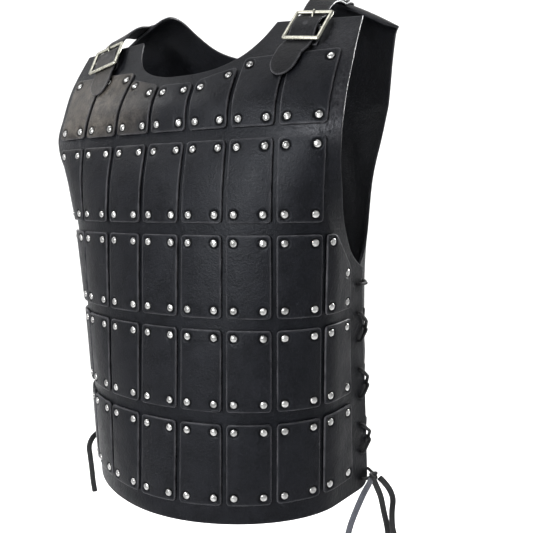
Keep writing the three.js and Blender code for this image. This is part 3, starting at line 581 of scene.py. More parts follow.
def rounded(corners, radius):
    """A polygon whose corners are parabolas that touch both sides a radius from the corner."""
    corners = np.asarray(corners, float)
    before = corners + radius * unit(np.roll(corners, 1, axis=0) - corners)
    after = corners + radius * unit(np.roll(corners, -1, axis=0) - corners)
    u = np.linspace(0, 1, 6)[None, :, None]
    curve = before[:, None] * (1 - u) ** 2 + corners[:, None] * 2 * u * (1 - u)
    return (curve + after[:, None] * u**2).reshape(-1, 2)


def circle(centre, radius, count):
    """A hole's edge, walked clockwise so that the leather lies on its left."""
    turn = -2 * np.pi * np.arange(count) / count
    return np.asarray(centre) + radius * np.stack([np.cos(turn), np.sin(turn)], -1)


def panel_outline(side, armhole, neck, step):
    """A panel's cut: hem, round corner, side, armhole and neck, from the middle of the hem."""
    low = HEM[-1][1]
    hem = [p for p in HEM if p[0] < side - HEM_CORNER]
    turn = np.radians(np.linspace(0, 90, 7))
    corner = np.stack(
        [side - HEM_CORNER * (1 - np.sin(turn)), low + HEM_CORNER * (1 - np.cos(turn))], -1
    )
    half = np.concatenate([hem, corner, spline(armhole, step), spline(neck, step)])
    return dotted(mirrored(half), step)


def nearest(points, loops):
    """The distance from each point to the nearest point of any loop."""
    marks = np.concatenate(loops)
    best = np.full(len(points), np.inf)
    for part in np.array_split(marks, max(len(marks) // 64, 1)):
        gap = np.hypot(points[:, None, 0] - part[:, 0], points[:, None, 1] - part[:, 1])
        best = np.minimum(best, gap.min(axis=1))
    return best


def lattice(low, high, step):
    """Points in staggered rows over a rectangle."""
    rows = np.arange(low[1], high[1], step * 0.866)
    columns = np.arange(low[0], high[0], step)
    x = columns[None, :] + (np.arange(len(rows)) % 2)[:, None] * step / 2
    return np.stack([x, np.broadcast_to(rows[:, None], x.shape)], -1).reshape(-1, 2)


def filled(loops, extra, step):
    """A flat cut filled with triangles through its loops, the extra points and a lattice.
    Returns the points, the triangles and each loop's places among the points."""
    low, high = loops[0].min(0), loops[0].max(0)
    field = lattice(low, high, step)
    field = field[nearest(field, loops) > 0.6 * step]
    if len(extra):
        field = field[nearest(field, [extra]) > 0.6 * step]
        field = np.concatenate([extra, field])
    flat = np.concatenate([*loops, field])
    edges = []
    start = 0
    for loop in loops:
        ring = np.arange(start, start + len(loop))
        edges.append(np.stack([ring, np.roll(ring, -1)], -1))
        start += len(loop)
    joined = delaunay_2d_cdt(
        [Vector(p) for p in flat.tolist()], np.concatenate(edges).tolist(), [], 2, 1e-5
    )
    points = np.array([tuple(v) for v in joined[0]])
    triangles = np.array(joined[2])
    place = np.full(len(flat), -1)
    for here, sources in enumerate(joined[3]):
        place[sources] = here
    rings = [place[pairs[:, 0]] for pairs in edges]
    used = np.unique(np.concatenate([triangles.ravel(), *rings]))
    again = np.full(len(points), -1)
    again[used] = np.arange(len(used))
    return points[used], again[triangles], [again[ring] for ring in rings]


RIM_TURNS = np.radians([0, 22, 48, 90, 132, 158, 180])


def cut_leather(place, outline, outer, inner, holes=(), extra=(), step=5.0, rim=0.9, relief=None):
    """A leather piece: its filled flat cut is its outer and its inner face, and a profile of a
    flattened half circle is carried along each cut edge to join them. Place turns a flat
    point and an offset into space, and relief adds to the offset. Returns the points, the
    triangles, the quads, the flat places and how near each point is to a cut edge."""
    loops = [outline, *holes]
    border = [inset(loop, rim + 1.3) for loop in loops]
    extra = np.concatenate([*border, np.asarray(extra, float).reshape(-1, 2)])
    flat, triangles, rings = filled([inset(loop, rim) for loop in loops], extra, step)
    middle, half = (outer + inner) / 2, (outer - inner) / 2
    sheets = [flat, flat]
    offsets = [np.full(len(flat), outer), np.full(len(flat), inner)]
    quads = []
    count = 2 * len(flat)
    for loop, ring in zip(loops, rings):
        rows = [ring]
        for turn in RIM_TURNS[1:-1]:
            sheets.append(inset(loop, rim * (1 - np.sin(turn) ** 0.7)))
            drop = np.sign(np.cos(turn)) * np.abs(np.cos(turn)) ** 0.7
            offsets.append(np.full(len(loop), middle + half * drop))
            rows.append(count + np.arange(len(loop)))
            count += len(loop)
        rows.append(ring + len(flat))
        rows = np.array(rows)
        a, b = rows[:-1], rows[1:]
        quads.append(
            np.stack([a, b, np.roll(b, -1, axis=1), np.roll(a, -1, axis=1)], -1).reshape(-1, 4)
        )
    sheet, offset = np.concatenate(sheets), np.concatenate(offsets)
    if relief is not None:
        offset = offset + relief(sheet)
    edge = np.exp(-((nearest(sheet, loops) / 0.9) ** 2))
    both = np.concatenate([triangles, triangles[:, ::-1] + len(flat)])
    return place(sheet, offset), both, np.concatenate(quads), sheet, edge


# Profiles carried along a path


def frames(path):
    """At each point of a path, its direction and two directions square to it that turn no
    more than the path does: each pair is the last one less its part along the path."""
    way = unit(np.gradient(path, axis=0))
    start = np.zeros(3)
    start[np.argmin(np.abs(way[0]))] = 1
    first = np.cross(way[0], unit(np.cross(way[0], start)))
    normals = [first]
    for here in way[1:]:
        last = normals[-1]
        normals.append(unit(last - here * (last @ here)))
    normals = np.array(normals)
    return way, normals, np.cross(way, normals)


def facing_frames(path, towards):
    """At each point of a path, its direction and two directions square to it, the first as
    near to a given direction as the path's own slow turning lets it be."""
    way = unit(np.gradient(path, axis=0))
    side = np.cross(way, towards)
    width = np.ones(15) / 15
    padded = np.pad(side, ((7, 7), (0, 0)), mode="edge")
    side = np.stack([np.convolve(padded[:, k], width, mode="valid") for k in range(3)], -1)
    side = unit(side - way * (side * way).sum(-1, keepdims=True))
    return way, np.cross(side, way), side


def rope(path, wide, thick, sides, bumps=0, pitch=6.0, relief=0.2, towards=None):
    """A cord: an ellipse carried along a path, with a braid of two opposite spirals that
    stand out from it by the relief. Returns points, quads, triangles of the round ends and
    the flat places (round the cord and along it)."""
    path = np.asarray(path, float)
    way, normal, binormal = frames(path) if towards is None else facing_frames(path, towards)
    run = run_of(path)
    turn = 2 * np.pi * np.arange(sides) / sides
    across_braid = np.sin(bumps * turn[None] + 2 * np.pi * run[:, None] / pitch)
    other_braid = np.sin(bumps * turn[None] - 2 * np.pi * run[:, None] / pitch)
    out = relief * (np.abs(across_braid * other_braid) - 0.5) if bumps else 0 * across_braid
    a = (thick / 2 + out) * np.cos(turn)
    b = (wide / 2 + out) * np.sin(turn)
    points = path[:, None] + normal[:, None] * a[..., None] + binormal[:, None] * b[..., None]
    index = np.arange(len(path) * sides).reshape(len(path), sides)
    low, high = index[:-1], index[1:]
    quads = np.stack([low, np.roll(low, -1, 1), np.roll(high, -1, 1), high], -1).reshape(-1, 4)
    flat = np.stack(np.broadcast_arrays(turn[None] / (2 * np.pi) * 12, run[:, None]), -1)
    points, flat = points.reshape(-1, 3), flat.reshape(-1, 2)
    ends = np.array([path[0] - 0.35 * thick * way[0], path[-1] + 0.35 * thick * way[-1]])
    tip = len(points)
    points = np.concatenate([points, ends])
    flat = np.concatenate([flat, [[0, run[0]], [0, run[-1]]]])
    first, last = index[0], index[-1]
    triangles = np.concatenate(
        [
            np.stack([np.roll(first, -1), first, np.full(sides, tip)], -1),
            np.stack([last, np.roll(last, -1), np.full(sides, tip + 1)], -1),
        ]
    )
    return points, quads, triangles, flat


def turned(profile, sides):
    """A turned piece about z: a half profile of radius and height carried round in a circle.
    Its first and last point lie on the axis."""
    profile = np.asarray(profile, float)
    turn = 2 * np.pi * np.arange(sides) / sides
    ring = profile[1:-1]
    points = np.stack(
        [
            ring[:, :1] * np.cos(turn),
            ring[:, :1] * np.sin(turn),
            np.broadcast_to(ring[:, 1:], (len(ring), sides)),
        ],
        -1,
    ).reshape(-1, 3)
    index = np.arange(len(ring) * sides).reshape(len(ring), sides)
    low, high = index[:-1], index[1:]
    quads = np.stack([low, np.roll(low, -1, 1), np.roll(high, -1, 1), high], -1).reshape(-1, 4)
    poles = np.array([[0, 0, profile[0, 1]], [0, 0, profile[-1, 1]]])
    first, last = index[0], index[-1]
    base = len(points)
    triangles = np.concatenate(
        [
            np.stack([np.roll(first, -1), first, np.full(sides, base)], -1),
            np.stack([last, np.roll(last, -1), np.full(sides, base + 1)], -1),
        ]
    )
    return np.concatenate([points, poles]), quads, triangles


def placed(points, centres, along, up, out):
    """Copies of points at many places, each with its own three directions."""
    basis = np.stack([along, up, out], -2)
    return (np.einsum("ni,mij->mnj", points, basis) + centres[:, None]).reshape(-1, 3)


def repeated(faces, count, size):
    """The faces of many copies of a mesh that has size points."""
    return (faces[None] + size * np.arange(count)[:, None, None]).reshape(-1, faces.shape[1])


# Blender meshes


def new_piece(name, points, faces, material, flat=None, marks=None):
    """A smooth mesh object from points in the garment's millimetres and lists of faces. Flat
    becomes its UV map, in metres, and marks its point attributes."""
    mesh = bpy.data.meshes.new(name)
    polygons = [face for group in faces for face in np.asarray(group).tolist()]
    mesh.from_pydata(((points - SHOULDERS) * MM).tolist(), [], polygons)
    corners = np.empty(len(mesh.loops), np.int32)
    mesh.loops.foreach_get("vertex_index", corners)
    if flat is not None:
        layer = mesh.uv_layers.new(name="Cut")
        layer.data.foreach_set("uv", (flat * MM)[corners].astype(np.float32).ravel())
    for key, values in (marks or {}).items():
        mark = mesh.attributes.new(key, "FLOAT", "POINT")
        mark.data.foreach_set("value", np.asarray(values, np.float32))
    mesh.polygons.foreach_set("use_smooth", np.ones(len(mesh.polygons), bool))
    mesh.materials.append(material)
    mesh.update()
    piece = bpy.data.objects.new(name, mesh)
    bpy.context.scene.collection.objects.link(piece)
    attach(piece, "root")
    return piece


def merged(parts):
    """Several meshes as one: each part is points, a list of face groups, flat places and
    marks. Face groups with the same number of corners are joined."""
    points, flats, marks = [], [], {}
    faces = []
    start = 0
    for spots, groups, flat, more in parts:
        points.append(spots)
        flats.append(flat)
        faces += [np.asarray(group) + start for group in groups if len(group)]
        for key, values in more.items():
            marks.setdefault(key, []).append(values)
        start += len(spots)
    marks = {key: np.concatenate(values) for key, values in marks.items()}
    return np.concatenate(points), faces, np.concatenate(flats), marks


def outwards(quads, triangles, facing):
    """Faces turned round on a side whose cut is seen from behind."""
    return [triangles[:, ::facing], quads[:, ::facing]]


# Materials


def new_material(name):
    """An empty node material with its shader: returns the material, its tree and the shader."""
    material = bpy.data.materials.get(name) or bpy.data.materials.new(name)
    material.use_nodes = True
    tree = material.node_tree
    tree.nodes.clear()
    shader = tree.nodes.new("ShaderNodeBsdfPrincipled")
    output = tree.nodes.new("ShaderNodeOutputMaterial")
    tree.links.new(shader.outputs["BSDF"], output.inputs["Surface"])
    return material, tree, shader


def noise(tree, scale, detail=3.0, roughness=0.5, distortion=0.0):
    """A noise over the object's own coordinates, in cycles per metre. Returns its value."""
    coordinates = tree.nodes.new("ShaderNodeTexCoord")
    node = tree.nodes.new("ShaderNodeTexNoise")
    node.inputs["Scale"].default_value = scale
    node.inputs["Detail"].default_value = detail
    node.inputs["Roughness"].default_value = roughness
    node.inputs["Distortion"].default_value = distortion
    tree.links.new(coordinates.outputs["Object"], node.inputs["Vector"])
    return node.outputs["Fac"]


def pores(tree, scale):
    """Leather pores: the distance to the nearest of many scattered points."""
    coordinates = tree.nodes.new("ShaderNodeTexCoord")
    node = tree.nodes.new("ShaderNodeTexVoronoi")
    node.inputs["Scale"].default_value = scale
    tree.links.new(coordinates.outputs["Object"], node.inputs["Vector"])
    return node.outputs["Distance"]


def attribute(tree, name):
    """A number kept on the mesh's points."""
    node = tree.nodes.new("ShaderNodeAttribute")
    node.attribute_name = name
    return node.outputs["Fac"]


def ranged(tree, value, low, high, to_low, to_high):
    """A value moved from one range to another, and kept inside it."""
    node = tree.nodes.new("ShaderNodeMapRange")
    node.inputs["From Min"].default_value = low
    node.inputs["From Max"].default_value = high
    node.inputs["To Min"].default_value = to_low
    node.inputs["To Max"].default_value = to_high
    tree.links.new(value, node.inputs["Value"])
    return node.outputs["Result"]


def calculated(tree, operation, first, second):
    """Two values, or a value and a number, put together by one operation."""
    node = tree.nodes.new("ShaderNodeMath")
    node.operation = operation
    for socket, value in zip(node.inputs, (first, second)):
        if isinstance(value, (int, float)):
            socket.default_value = value
        else:
            tree.links.new(value, socket)
    return node.outputs["Value"]


def blended(tree, share, first, second):
    """A colour between two, each a colour or another node's output."""
    node = tree.nodes.new("ShaderNodeMix")
    node.data_type = "RGBA"
    tree.links.new(share, node.inputs["Factor"])
    for socket, colour in ((node.inputs["A"], first), (node.inputs["B"], second)):
        if isinstance(colour, bpy.types.NodeSocket):
            tree.links.new(colour, socket)
        else:
            socket.default_value = (*colour, 1)
    return node.outputs["Result"]


def bumped(tree, height, distance, normal=None, strength=1.0):
    """A bump of a height pattern, in metres, on top of another one."""
    node = tree.nodes.new("ShaderNodeBump")
    node.inputs["Distance"].default_value = distance
    node.inputs["Strength"].default_value = strength
    tree.links.new(height, node.inputs["Height"])
    if normal is not None:
        tree.links.new(normal, node.inputs["Normal"])
    return node.outputs["Normal"]


def leather_material(name, colour, look, grain, unevenness):
    """Waxed black leather: a mottled dark colour, dust in its hollows whose brown colour also paints
    a warm sheen, edges rubbed lighter and smoother whose lighter colour is also a painted edge
    highlight, a painted sheen of lighter colour where the leather was creased, painted shade round
    rivets and holes, a sheen that comes and goes over a few millimetres, and bumps from soft waves
    down to pores, with crinkles where the leather was creased."""
    material, tree, shader = new_material(name)
    cloud = noise(tree, 60, 5, 0.62, 0.6)
    speckle = noise(tree, 420, 4, 0.65)
    wrinkle = noise(tree, 120, 5, 0.55, 0.3)
    dark = tuple(0.62 * c for c in colour)
    light = tuple(1.5 * c for c in colour)
    mottle = ranged(tree, calculated(tree, "ADD", cloud, speckle), 0.8, 1.25, 0, 1)
    base = blended(tree, mottle, dark, light)
    worn = ranged(tree, calculated(tree, "ADD", cloud, wrinkle), 0.78, 1.2, 0.3, 0.85)
    worn = calculated(tree, "MULTIPLY", worn, ranged(tree, speckle, 0.38, 0.62, 0.5, 1))
    # The brown colour paints dust and a warm sheen where the side light falls on the upper plates
    dust_and_sheen = calculated(tree, "MULTIPLY", attribute(tree, "dust_and_sheen"), worn)
    base = blended(tree, dust_and_sheen, base, look.dust_and_sheen_colour)
    # Edges rubbed lighter: this lighter colour is also a painted edge highlight
    patchy = ranged(tree, noise(tree, 90, 3), 0.3, 0.7, 0.25, 1)
    rubbed_and_highlit = calculated(tree, "MULTIPLY", attribute(tree, "edge"), patchy)
    base = blended(tree, rubbed_and_highlit, base, look.edge_and_highlight_colour)
    crinkle = attribute(tree, "crinkle")
    # Painted sheen: a lighter colour mixed in where the leather is creased
    painted_sheen = ranged(tree, noise(tree, 230, 4, 0.7), 0.4, 0.62, 0.1, 0.5)
    base = blended(tree, calculated(tree, "MULTIPLY", crinkle, painted_sheen), base, look.edge_and_highlight_colour)
    # Painted shade: leather darkened round each rivet and each lace hole, and rougher there
    pressed_shade = attribute(tree, "pressed_shade")
    base = blended(tree, pressed_shade, base, tuple(0.25 * c for c in colour))
    tree.links.new(base, shader.inputs["Base Color"])
    rough = ranged(tree, calculated(tree, "ADD", cloud, speckle), 0.7, 1.3, 0, 0.18)
    rough = calculated(tree, "ADD", rough, look.roughness - 0.09)
    rough = calculated(tree, "SUBTRACT", rough, calculated(tree, "MULTIPLY", crinkle, 0.1))
    rough = calculated(tree, "SUBTRACT", rough, calculated(tree, "MULTIPLY", rubbed_and_highlit, 0.12))
    rough = calculated(tree, "ADD", rough, calculated(tree, "MULTIPLY", pressed_shade, 0.3))
    tree.links.new(rough, shader.inputs["Roughness"])
    shader.inputs["Specular IOR Level"].default_value = look.gloss
    shader.inputs["Specular Tint"].default_value = (0.88, 0.92, 1.0, 1)
    waves = bumped(tree, noise(tree, 17, 2, 0.4), unevenness)
    normal = bumped(tree, noise(tree, 45, 2, 0.45), 0.3 * unevenness, waves)
    normal = bumped(tree, wrinkle, 0.0003, normal, 0.8)
    normal = bumped(tree, noise(tree, 400, 3, 0.65), 0.00042, normal)
    normal = bumped(tree, pores(tree, 950), grain, normal, 0.5)
    creases = calculated(tree, "MULTIPLY", noise(tree, 130, 3, 0.55, 0.5), crinkle)
    normal = bumped(tree, creases, 0.001, normal)
    tree.links.new(normal, shader.inputs["Normal"])
    return material


def metal_material(name, colour, roughness, tarnish, dents):
    """Plated metal: clouds of tarnish in its colour and sheen, soft dents of a given depth
    and fine scratches."""
    material, tree, shader = new_material(name)
    cloud = noise(tree, 150, 4, 0.6)
    worn = ranged(tree, cloud, 0.35, 0.68, 0, 1)
    base = blended(tree, worn, tuple(tarnish * c for c in colour), colour)
    tree.links.new(base, shader.inputs["Base Color"])
    shader.inputs["Metallic"].default_value = 1.0
    rough = ranged(tree, cloud, 0.3, 0.7, roughness + 0.12, roughness)
    tree.links.new(rough, shader.inputs["Roughness"])
    normal = bumped(tree, noise(tree, 240, 1, 0.4), dents)
    normal = bumped(tree, noise(tree, 700, 3, 0.6, 0.5), 0.00006, normal)
    tree.links.new(normal, shader.inputs["Normal"])
    return material


def lace_material(name, colour, roughness):
    """Braided cotton lace: fine fibres in its colour and its surface."""
    material, tree, shader = new_material(name)
    fibre = noise(tree, 900, 3, 0.7)
    dark = tuple(0.5 * c for c in colour)
    light = tuple(1.8 * c for c in colour)
    base = blended(tree, ranged(tree, fibre, 0.3, 0.7, 0, 1), dark, light)
    tree.links.new(base, shader.inputs["Base Color"])
    shader.inputs["Roughness"].default_value = roughness
    shader.inputs["Sheen Weight"].default_value = 0.03
    shader.inputs["Specular IOR Level"].default_value = 0.2
    tree.links.new(bumped(tree, fibre, 0.0003), shader.inputs["Normal"])
    return material


# What a user may change

COLOUR = {"subtype": "COLOR", "size": 3, "min": 0, "max": 1}
FACTOR = {"subtype": "FACTOR", "min": 0, "max": 1}
LIGHT = {"unit": "POWER", "min": 0, "max": 500}


class VestLeather(bpy.types.PropertyGroup):
    """Colours and finish of the leather."""

    backing_colour: bpy.props.FloatVectorProperty(
        name="Backing colour",
        description="The dyed leather of the front and back panels",
        **COLOUR,
        default=(0.0024, 0.0026, 0.0034),
    )
    plate_colour: bpy.props.FloatVectorProperty(
        name="Plate colour",
        description="The dyed and waxed leather of the plates",
        **COLOUR,
        default=(0.0030, 0.0032, 0.0041),
    )
    strap_colour: bpy.props.FloatVectorProperty(
        name="Strap colour",
        description="The leather of the shoulder straps and chapes",
        **COLOUR,
        default=(0.0030, 0.0031, 0.0037),
    )
    # Lighter colour of rubbed edges, which is also a painted edge highlight
    edge_and_highlight_colour: bpy.props.FloatVectorProperty(
        name="Edge colour",
        description="Where cut edges are burnished and rubbed",
        **COLOUR,
        default=(0.05, 0.05, 0.054),
    )
    # Brown colour of dust, which also paints a warm sheen on the upper plates
    dust_and_sheen_colour: bpy.props.FloatVectorProperty(
        name="Dust colour",
        description="The brown-grey bloom of wax and dust on the upper plates",
        **COLOUR,
        default=(0.085, 0.075, 0.063),
    )
    roughness: bpy.props.FloatProperty(
        name="Roughness",
        description="How dull the leather is",
        default=0.4,
        **FACTOR,
    )
    gloss: bpy.props.FloatProperty(
        name="Gloss",
        description="How strongly the wax shines",
        default=0.068,
        **FACTOR,
    )
    grain: bpy.props.FloatProperty(
        name="Grain",
        description="Depth of the pores",
        unit="LENGTH",
        min=0,
        max=0.001,
        default=0.00018,
    )
    unevenness: bpy.props.FloatProperty(
        name="Unevenness",
        description="Height of the soft waves in the plates",
        unit="LENGTH",
        min=0,
        max=0.01,
        default=0.0022,
    )


class VestShapes(bpy.types.PropertyGroup):
    """Sizes of the worked details."""

    dimple: bpy.props.FloatProperty(
        name="Dimple",
        description="How deep a rivet is pressed into its plate, in millimetres",
        min=0,
        max=2,
        default=1.25,
    )
    crown: bpy.props.FloatProperty(
        name="Crown",
        description="How far a plate bulges in its middle, in millimetres",
        min=0,
        max=3,
        default=0.7,
    )
    plate_rim: bpy.props.FloatProperty(
        name="Plate rim",
        description="How far a plate's edge is rounded, in millimetres",
        min=0.2,
        max=1.4,
        default=1.1,
    )
    panel_step: bpy.props.FloatProperty(
        name="Panel step",
        description="Distance between a panel's points, in millimetres",
        min=3,
        max=12,
        default=5.0,
    )
    braid: bpy.props.FloatProperty(
        name="Braid",
        description="How far a lace's strands stand out, in millimetres",
        min=0,
        max=0.6,
        default=0.3,
    )


class VestMetal(bpy.types.PropertyGroup):
    """Colours and finish of the rivets and buckles."""

    rivet_colour: bpy.props.FloatVectorProperty(
        name="Rivet colour",
        description="The plated rivet caps",
        **COLOUR,
        default=(0.38, 0.38, 0.375),
    )
    buckle_colour: bpy.props.FloatVectorProperty(
        name="Buckle colour",
        description="The pale antique plating of the buckles",
        **COLOUR,
        default=(0.31, 0.305, 0.26),
    )
    lace_colour: bpy.props.FloatVectorProperty(
        name="Lace colour",
        description="The laces' braid",
        **COLOUR,
        default=(0.003, 0.0031, 0.0036),
    )
    worn_lace_colour: bpy.props.FloatVectorProperty(
        name="Worn lace colour",
        description="The lace end whose braid is rubbed grey",
        **COLOUR,
        default=(0.035, 0.037, 0.045),
    )


class VestStage(bpy.types.PropertyGroup):
    """The pale floor and the soft lights."""

    floor_colour: bpy.props.FloatVectorProperty(
        name="Floor colour",
        description="The pale floor and the round backdrop",
        **COLOUR,
        default=(0.93, 0.93, 0.93),
    )
    floor_height: bpy.props.FloatProperty(
        name="Floor height",
        description="Where the floor lies under the vest",
        unit="LENGTH",
        min=-3,
        max=0,
        default=-1.35,
    )
    key_power: bpy.props.FloatProperty(
        name="Key light",
        description="The tall soft light in front",
        default=105,
        **LIGHT,
    )
    top_power: bpy.props.FloatProperty(
        name="Top light",
        description="The soft light overhead",
        default=30,
        **LIGHT,
    )
    side_power: bpy.props.FloatProperty(
        name="Side light",
        description="The soft light at the wearer's right",
        default=30,
        **LIGHT,
    )
    sky: bpy.props.FloatProperty(
        name="Sky",
        description="The brightness all round",
        subtype="FACTOR",
        min=0,
        max=4,
        default=0.76,
    )


def leather_looks():
    """The three leathers, made once from the user's colours."""
    look = bpy.context.scene.vest_leather
    for name, colour, waves in (
        ("backing leather", look.backing_colour, 1.0),
        ("plate leather", look.plate_colour, 1.0),
        ("strap leather", look.strap_colour, 0.5),
    ):
        leather_material(name, tuple(colour), look, look.grain, waves * look.unevenness)


def looks():
    """All materials of the vest by their names."""
    names = ("backing leather", "plate leather", "strap leather")
    if not all(name in bpy.data.materials for name in names):
        leather_looks()
        metal = bpy.context.scene.vest_metal
        metal_material("rivet plating", tuple(metal.rivet_colour), 0.16, 0.35, 0.0007)
        metal_material("buckle plating", tuple(metal.buckle_colour), 0.25, 0.6, 0.0001)
        lace_material("braided lace", tuple(metal.lace_colour), 0.72)
        lace_material("worn lace", tuple(metal.worn_lace_colour), 0.75)
    return bpy.data.materials


# The laces' course


def lace_spot(side, hand, i, face, lift, towards_edge=0.0):
    """A place by hole i, over the outer face of its panel (1), or the inner one (-1)."""
    place, outer, inner, edge = side
    width = hand * (edge - LACE_FROM_EDGE + towards_edge)
    offset = (outer + inner) / 2 + face * (BACKING / 2 + lift)
    return place(np.array([width, LACE_TOP - LACE_PITCH * i]), offset)


FRONT_LACED = (on_front, FRONT_OUTER, FRONT_INNER, FRONT_SIDE)
BACK_LACED = (on_back, BACK_OUTER, BACK_INNER, BACK_SIDE)


def crossing(start, end, hand, i, face, clear):
    """The way from hole i on one panel to the next hole up on the other: over the edge that
    stands proud, and past the other course in the middle of the gap."""
    proud = FRONT_LACED if face > 0 else BACK_LACED
    level = i - LACE_SLOPE if proud is start else i - 1 + LACE_SLOPE
    edge = lace_spot(proud, hand, level, face, LACE_LIFT, AROUND_EDGE)
    middle = lace_spot(start, hand, i, face, LACE_LIFT)
    middle = (middle + lace_spot(end, hand, i - 1, face, LACE_LIFT)) / 2
    middle[0] += hand * face * clear
    return [edge, middle] if proud is start else [middle, edge]


def lace_course(first, second, hand, clear):
    """One course up from the lowest hole, on the inner and the outer face by turns."""
    points = []
    side, other = first, second
    face = 1
    for i in range(LACE_COUNT - 1, -1, -1):
        points.append(lace_spot(side, hand, i, face, LACE_LIFT))
        face = -face
        points.append(lace_spot(side, hand, i, face, LACE_LIFT))
        if i:
            points += crossing(side, other, hand, i, face, clear)
        side, other = other, side
    return points


def knot_centre(hand):
    """The middle of the knot under the lowest holes, in front of the front panel's edge."""
    towards_edge = LACE_FROM_EDGE + KNOT["past_edge"]
    spot = lace_spot(FRONT_LACED, hand, LACE_COUNT - 1, 1, KNOT["stand"], towards_edge)
    return spot - (0, 0, KNOT["drop"])


def lace_path(hand):
    """The whole side lace, from the knot up one course and down the other."""
    knot = knot_centre(hand)
    up = lace_course(FRONT_LACED, BACK_LACED, hand, LACE_OVER)
    down = lace_course(BACK_LACED, FRONT_LACED, hand, LACE_UNDER)[::-1]
    top = lace_spot(FRONT_LACED, hand, 0, 1, LACE_LIFT, AROUND_EDGE)
    corners = np.array([knot, *up, top, *down, knot + (0, 3, 0.5)])
    return softened(corners, 1.6)


def softened(corners, radius):
    """A path whose sharp corners are short parabolas, at most a radius long on each side."""
    before, here, after = corners[:-2], corners[1:-1], corners[2:]
    reach = np.minimum(radius, 0.45 * np.linalg.norm(before - here, axis=1))[:, None]
    first = here + unit(before - here) * reach
    reach = np.minimum(radius, 0.45 * np.linalg.norm(after - here, axis=1))[:, None]
    last = here + unit(after - here) * reach
    u = np.linspace(0, 1, 5)[None, :, None]
    bend = first[:, None] * (1 - u) ** 2 + here[:, None] * 2 * u * (1 - u) + last[:, None] * u**2
    return np.concatenate([corners[:1], bend.reshape(-1, 3), corners[-1:]])


def evenly(path, step):
    """The same path with points a step apart."""
    run = run_of(path)
    marks = np.linspace(0, run[-1], max(int(run[-1] / step), 2))
    return np.stack([np.interp(marks, run, path[:, k]) for k in range(3)], -1)


def knot_path(centre):
    """A pulled-tight overhand knot: a trefoil curve squeezed to the knot's size."""
    t = np.linspace(0, 2 * np.pi, 120)
    curve = np.stack(
        [-np.sin(3 * t), np.sin(t) + 2 * np.sin(2 * t), np.cos(t) - 2 * np.cos(2 * t)], -1
    )
    inside = (KNOT_HALF - 1.6) / (1.0, 2.75, 3.0)
    return centre + curve * inside


# Buckles and straps


def buckle_frame(hand, width, height, lean):
    """The buckle's own directions on its tab, outwards from the neck, up the strap and out,
    and its place on the leather."""
    along, up, out = directions(front_skin, 1, np.float64(hand * width), np.float64(height))
    lean = np.radians(lean)
    x = along * hand * np.cos(lean) - up * np.sin(lean)
    y = np.cross(out, x) * hand
    middle = on_front(np.array([hand * width, height]), FRONT_OUTER)
    return np.array([x * hand, y, out]), middle


def in_frame(local, axes, middle):
    """Places given in a buckle's own directions."""
    return np.asarray(local, float) @ axes + middle


def strap_stations(hand, width, height, lean):
    """The strap's underside, from the back tab over the shoulder, through the buckle and down
    on the plates, and its direction across at each station."""
    axes, middle = buckle_frame(hand, width, height, lean)
    spots, ways = [], []
    for w, h, rise in ON_BACK:
        spots.append(on_back(np.array([hand * w, h]), BACK_OUTER + rise))
        ways.append(directions(back_skin, -1, np.float64(hand * w), np.float64(h))[0])
    for along, rise in ON_BUCKLE:
        spots.append(in_frame((hand * STRAP_SHIFT, along, rise), axes, middle))
        ways.append(axes[0])
    tilt = np.radians(lean)
    for w, h, rise in ON_PLATES:
        along, up, _ = directions(front_skin, 1, np.float64(hand * w), np.float64(h))
        spots.append(on_front(np.array([hand * w, h]), FRONT_OUTER + rise))
        ways.append(along * np.cos(tilt) - hand * up * np.sin(tilt))
    n = len(ON_BACK)
    bridge = spline(np.array(spots[n - 2 : n + 2]), 1.0)
    run = run_of(bridge)
    first = run[np.argmin(np.linalg.norm(bridge - spots[n - 1], axis=1))]
    last = run[np.argmin(np.linalg.norm(bridge - spots[n], axis=1))]
    for place, u in enumerate((0.25, 0.5, 0.75)):
        mark = first + (last - first) * u
        spot = np.array([np.interp(mark, run, bridge[:, k]) for k in range(3)])
        spot[2] += STRAP_BOW * (1 - (2 * u - 1) ** 2)
        spots.insert(n + place, spot)
        ways.insert(n + place, unit(ways[n - 1] * (1 - u) + ways[n + place] * u))
    return np.array(spots), np.array(ways)


def along_path(spots, ways, step=0.7):
    """A place function for a strip: its flat height runs along a curve through the stations,
    its width runs across it, and its offset runs square to both."""
    path = evenly(spline(spots, step), step)
    run = run_of(path)
    near = np.array([np.argmin(np.linalg.norm(path - spot, axis=1)) for spot in spots])
    across_ways = np.stack([np.interp(run, run[near], ways[:, k]) for k in range(3)], -1)
    forward = unit(np.gradient(path, axis=0))
    sideways = unit(across_ways - forward * (across_ways * forward).sum(-1, keepdims=True))
    out = np.cross(forward, sideways)

    def place(flat, offset):
        """Flat points and offsets, carried to the strip."""
        middle, side, up = (
            np.stack([np.interp(flat[:, 1], run, part[:, k]) for k in range(3)], -1)
            for part in (path, sideways, out)
        )
        return middle + side * flat[:, :1] + up * offset[:, None]

    return place, run[-1], path, run


def frame_profile():
    """The cross-section of a buckle's bar: a flat back and a face with two bevels."""
    half, low, high = FRAME_BAR / 2, -FRAME_THICK / 2, FRAME_THICK / 2
    return np.array(
        [
            (-half, low + 0.5),
            (-half + 0.5, low),
            (half - 0.5, low),
            (half, low + 0.5),
            (half, high - 1.2),
            (half - 0.25, high - 0.75),
            (half - 1.4, high),
            (-half + 1.4, high),
            (-half + 0.25, high - 0.75),
            (-half, high - 1.2),
        ]
    )


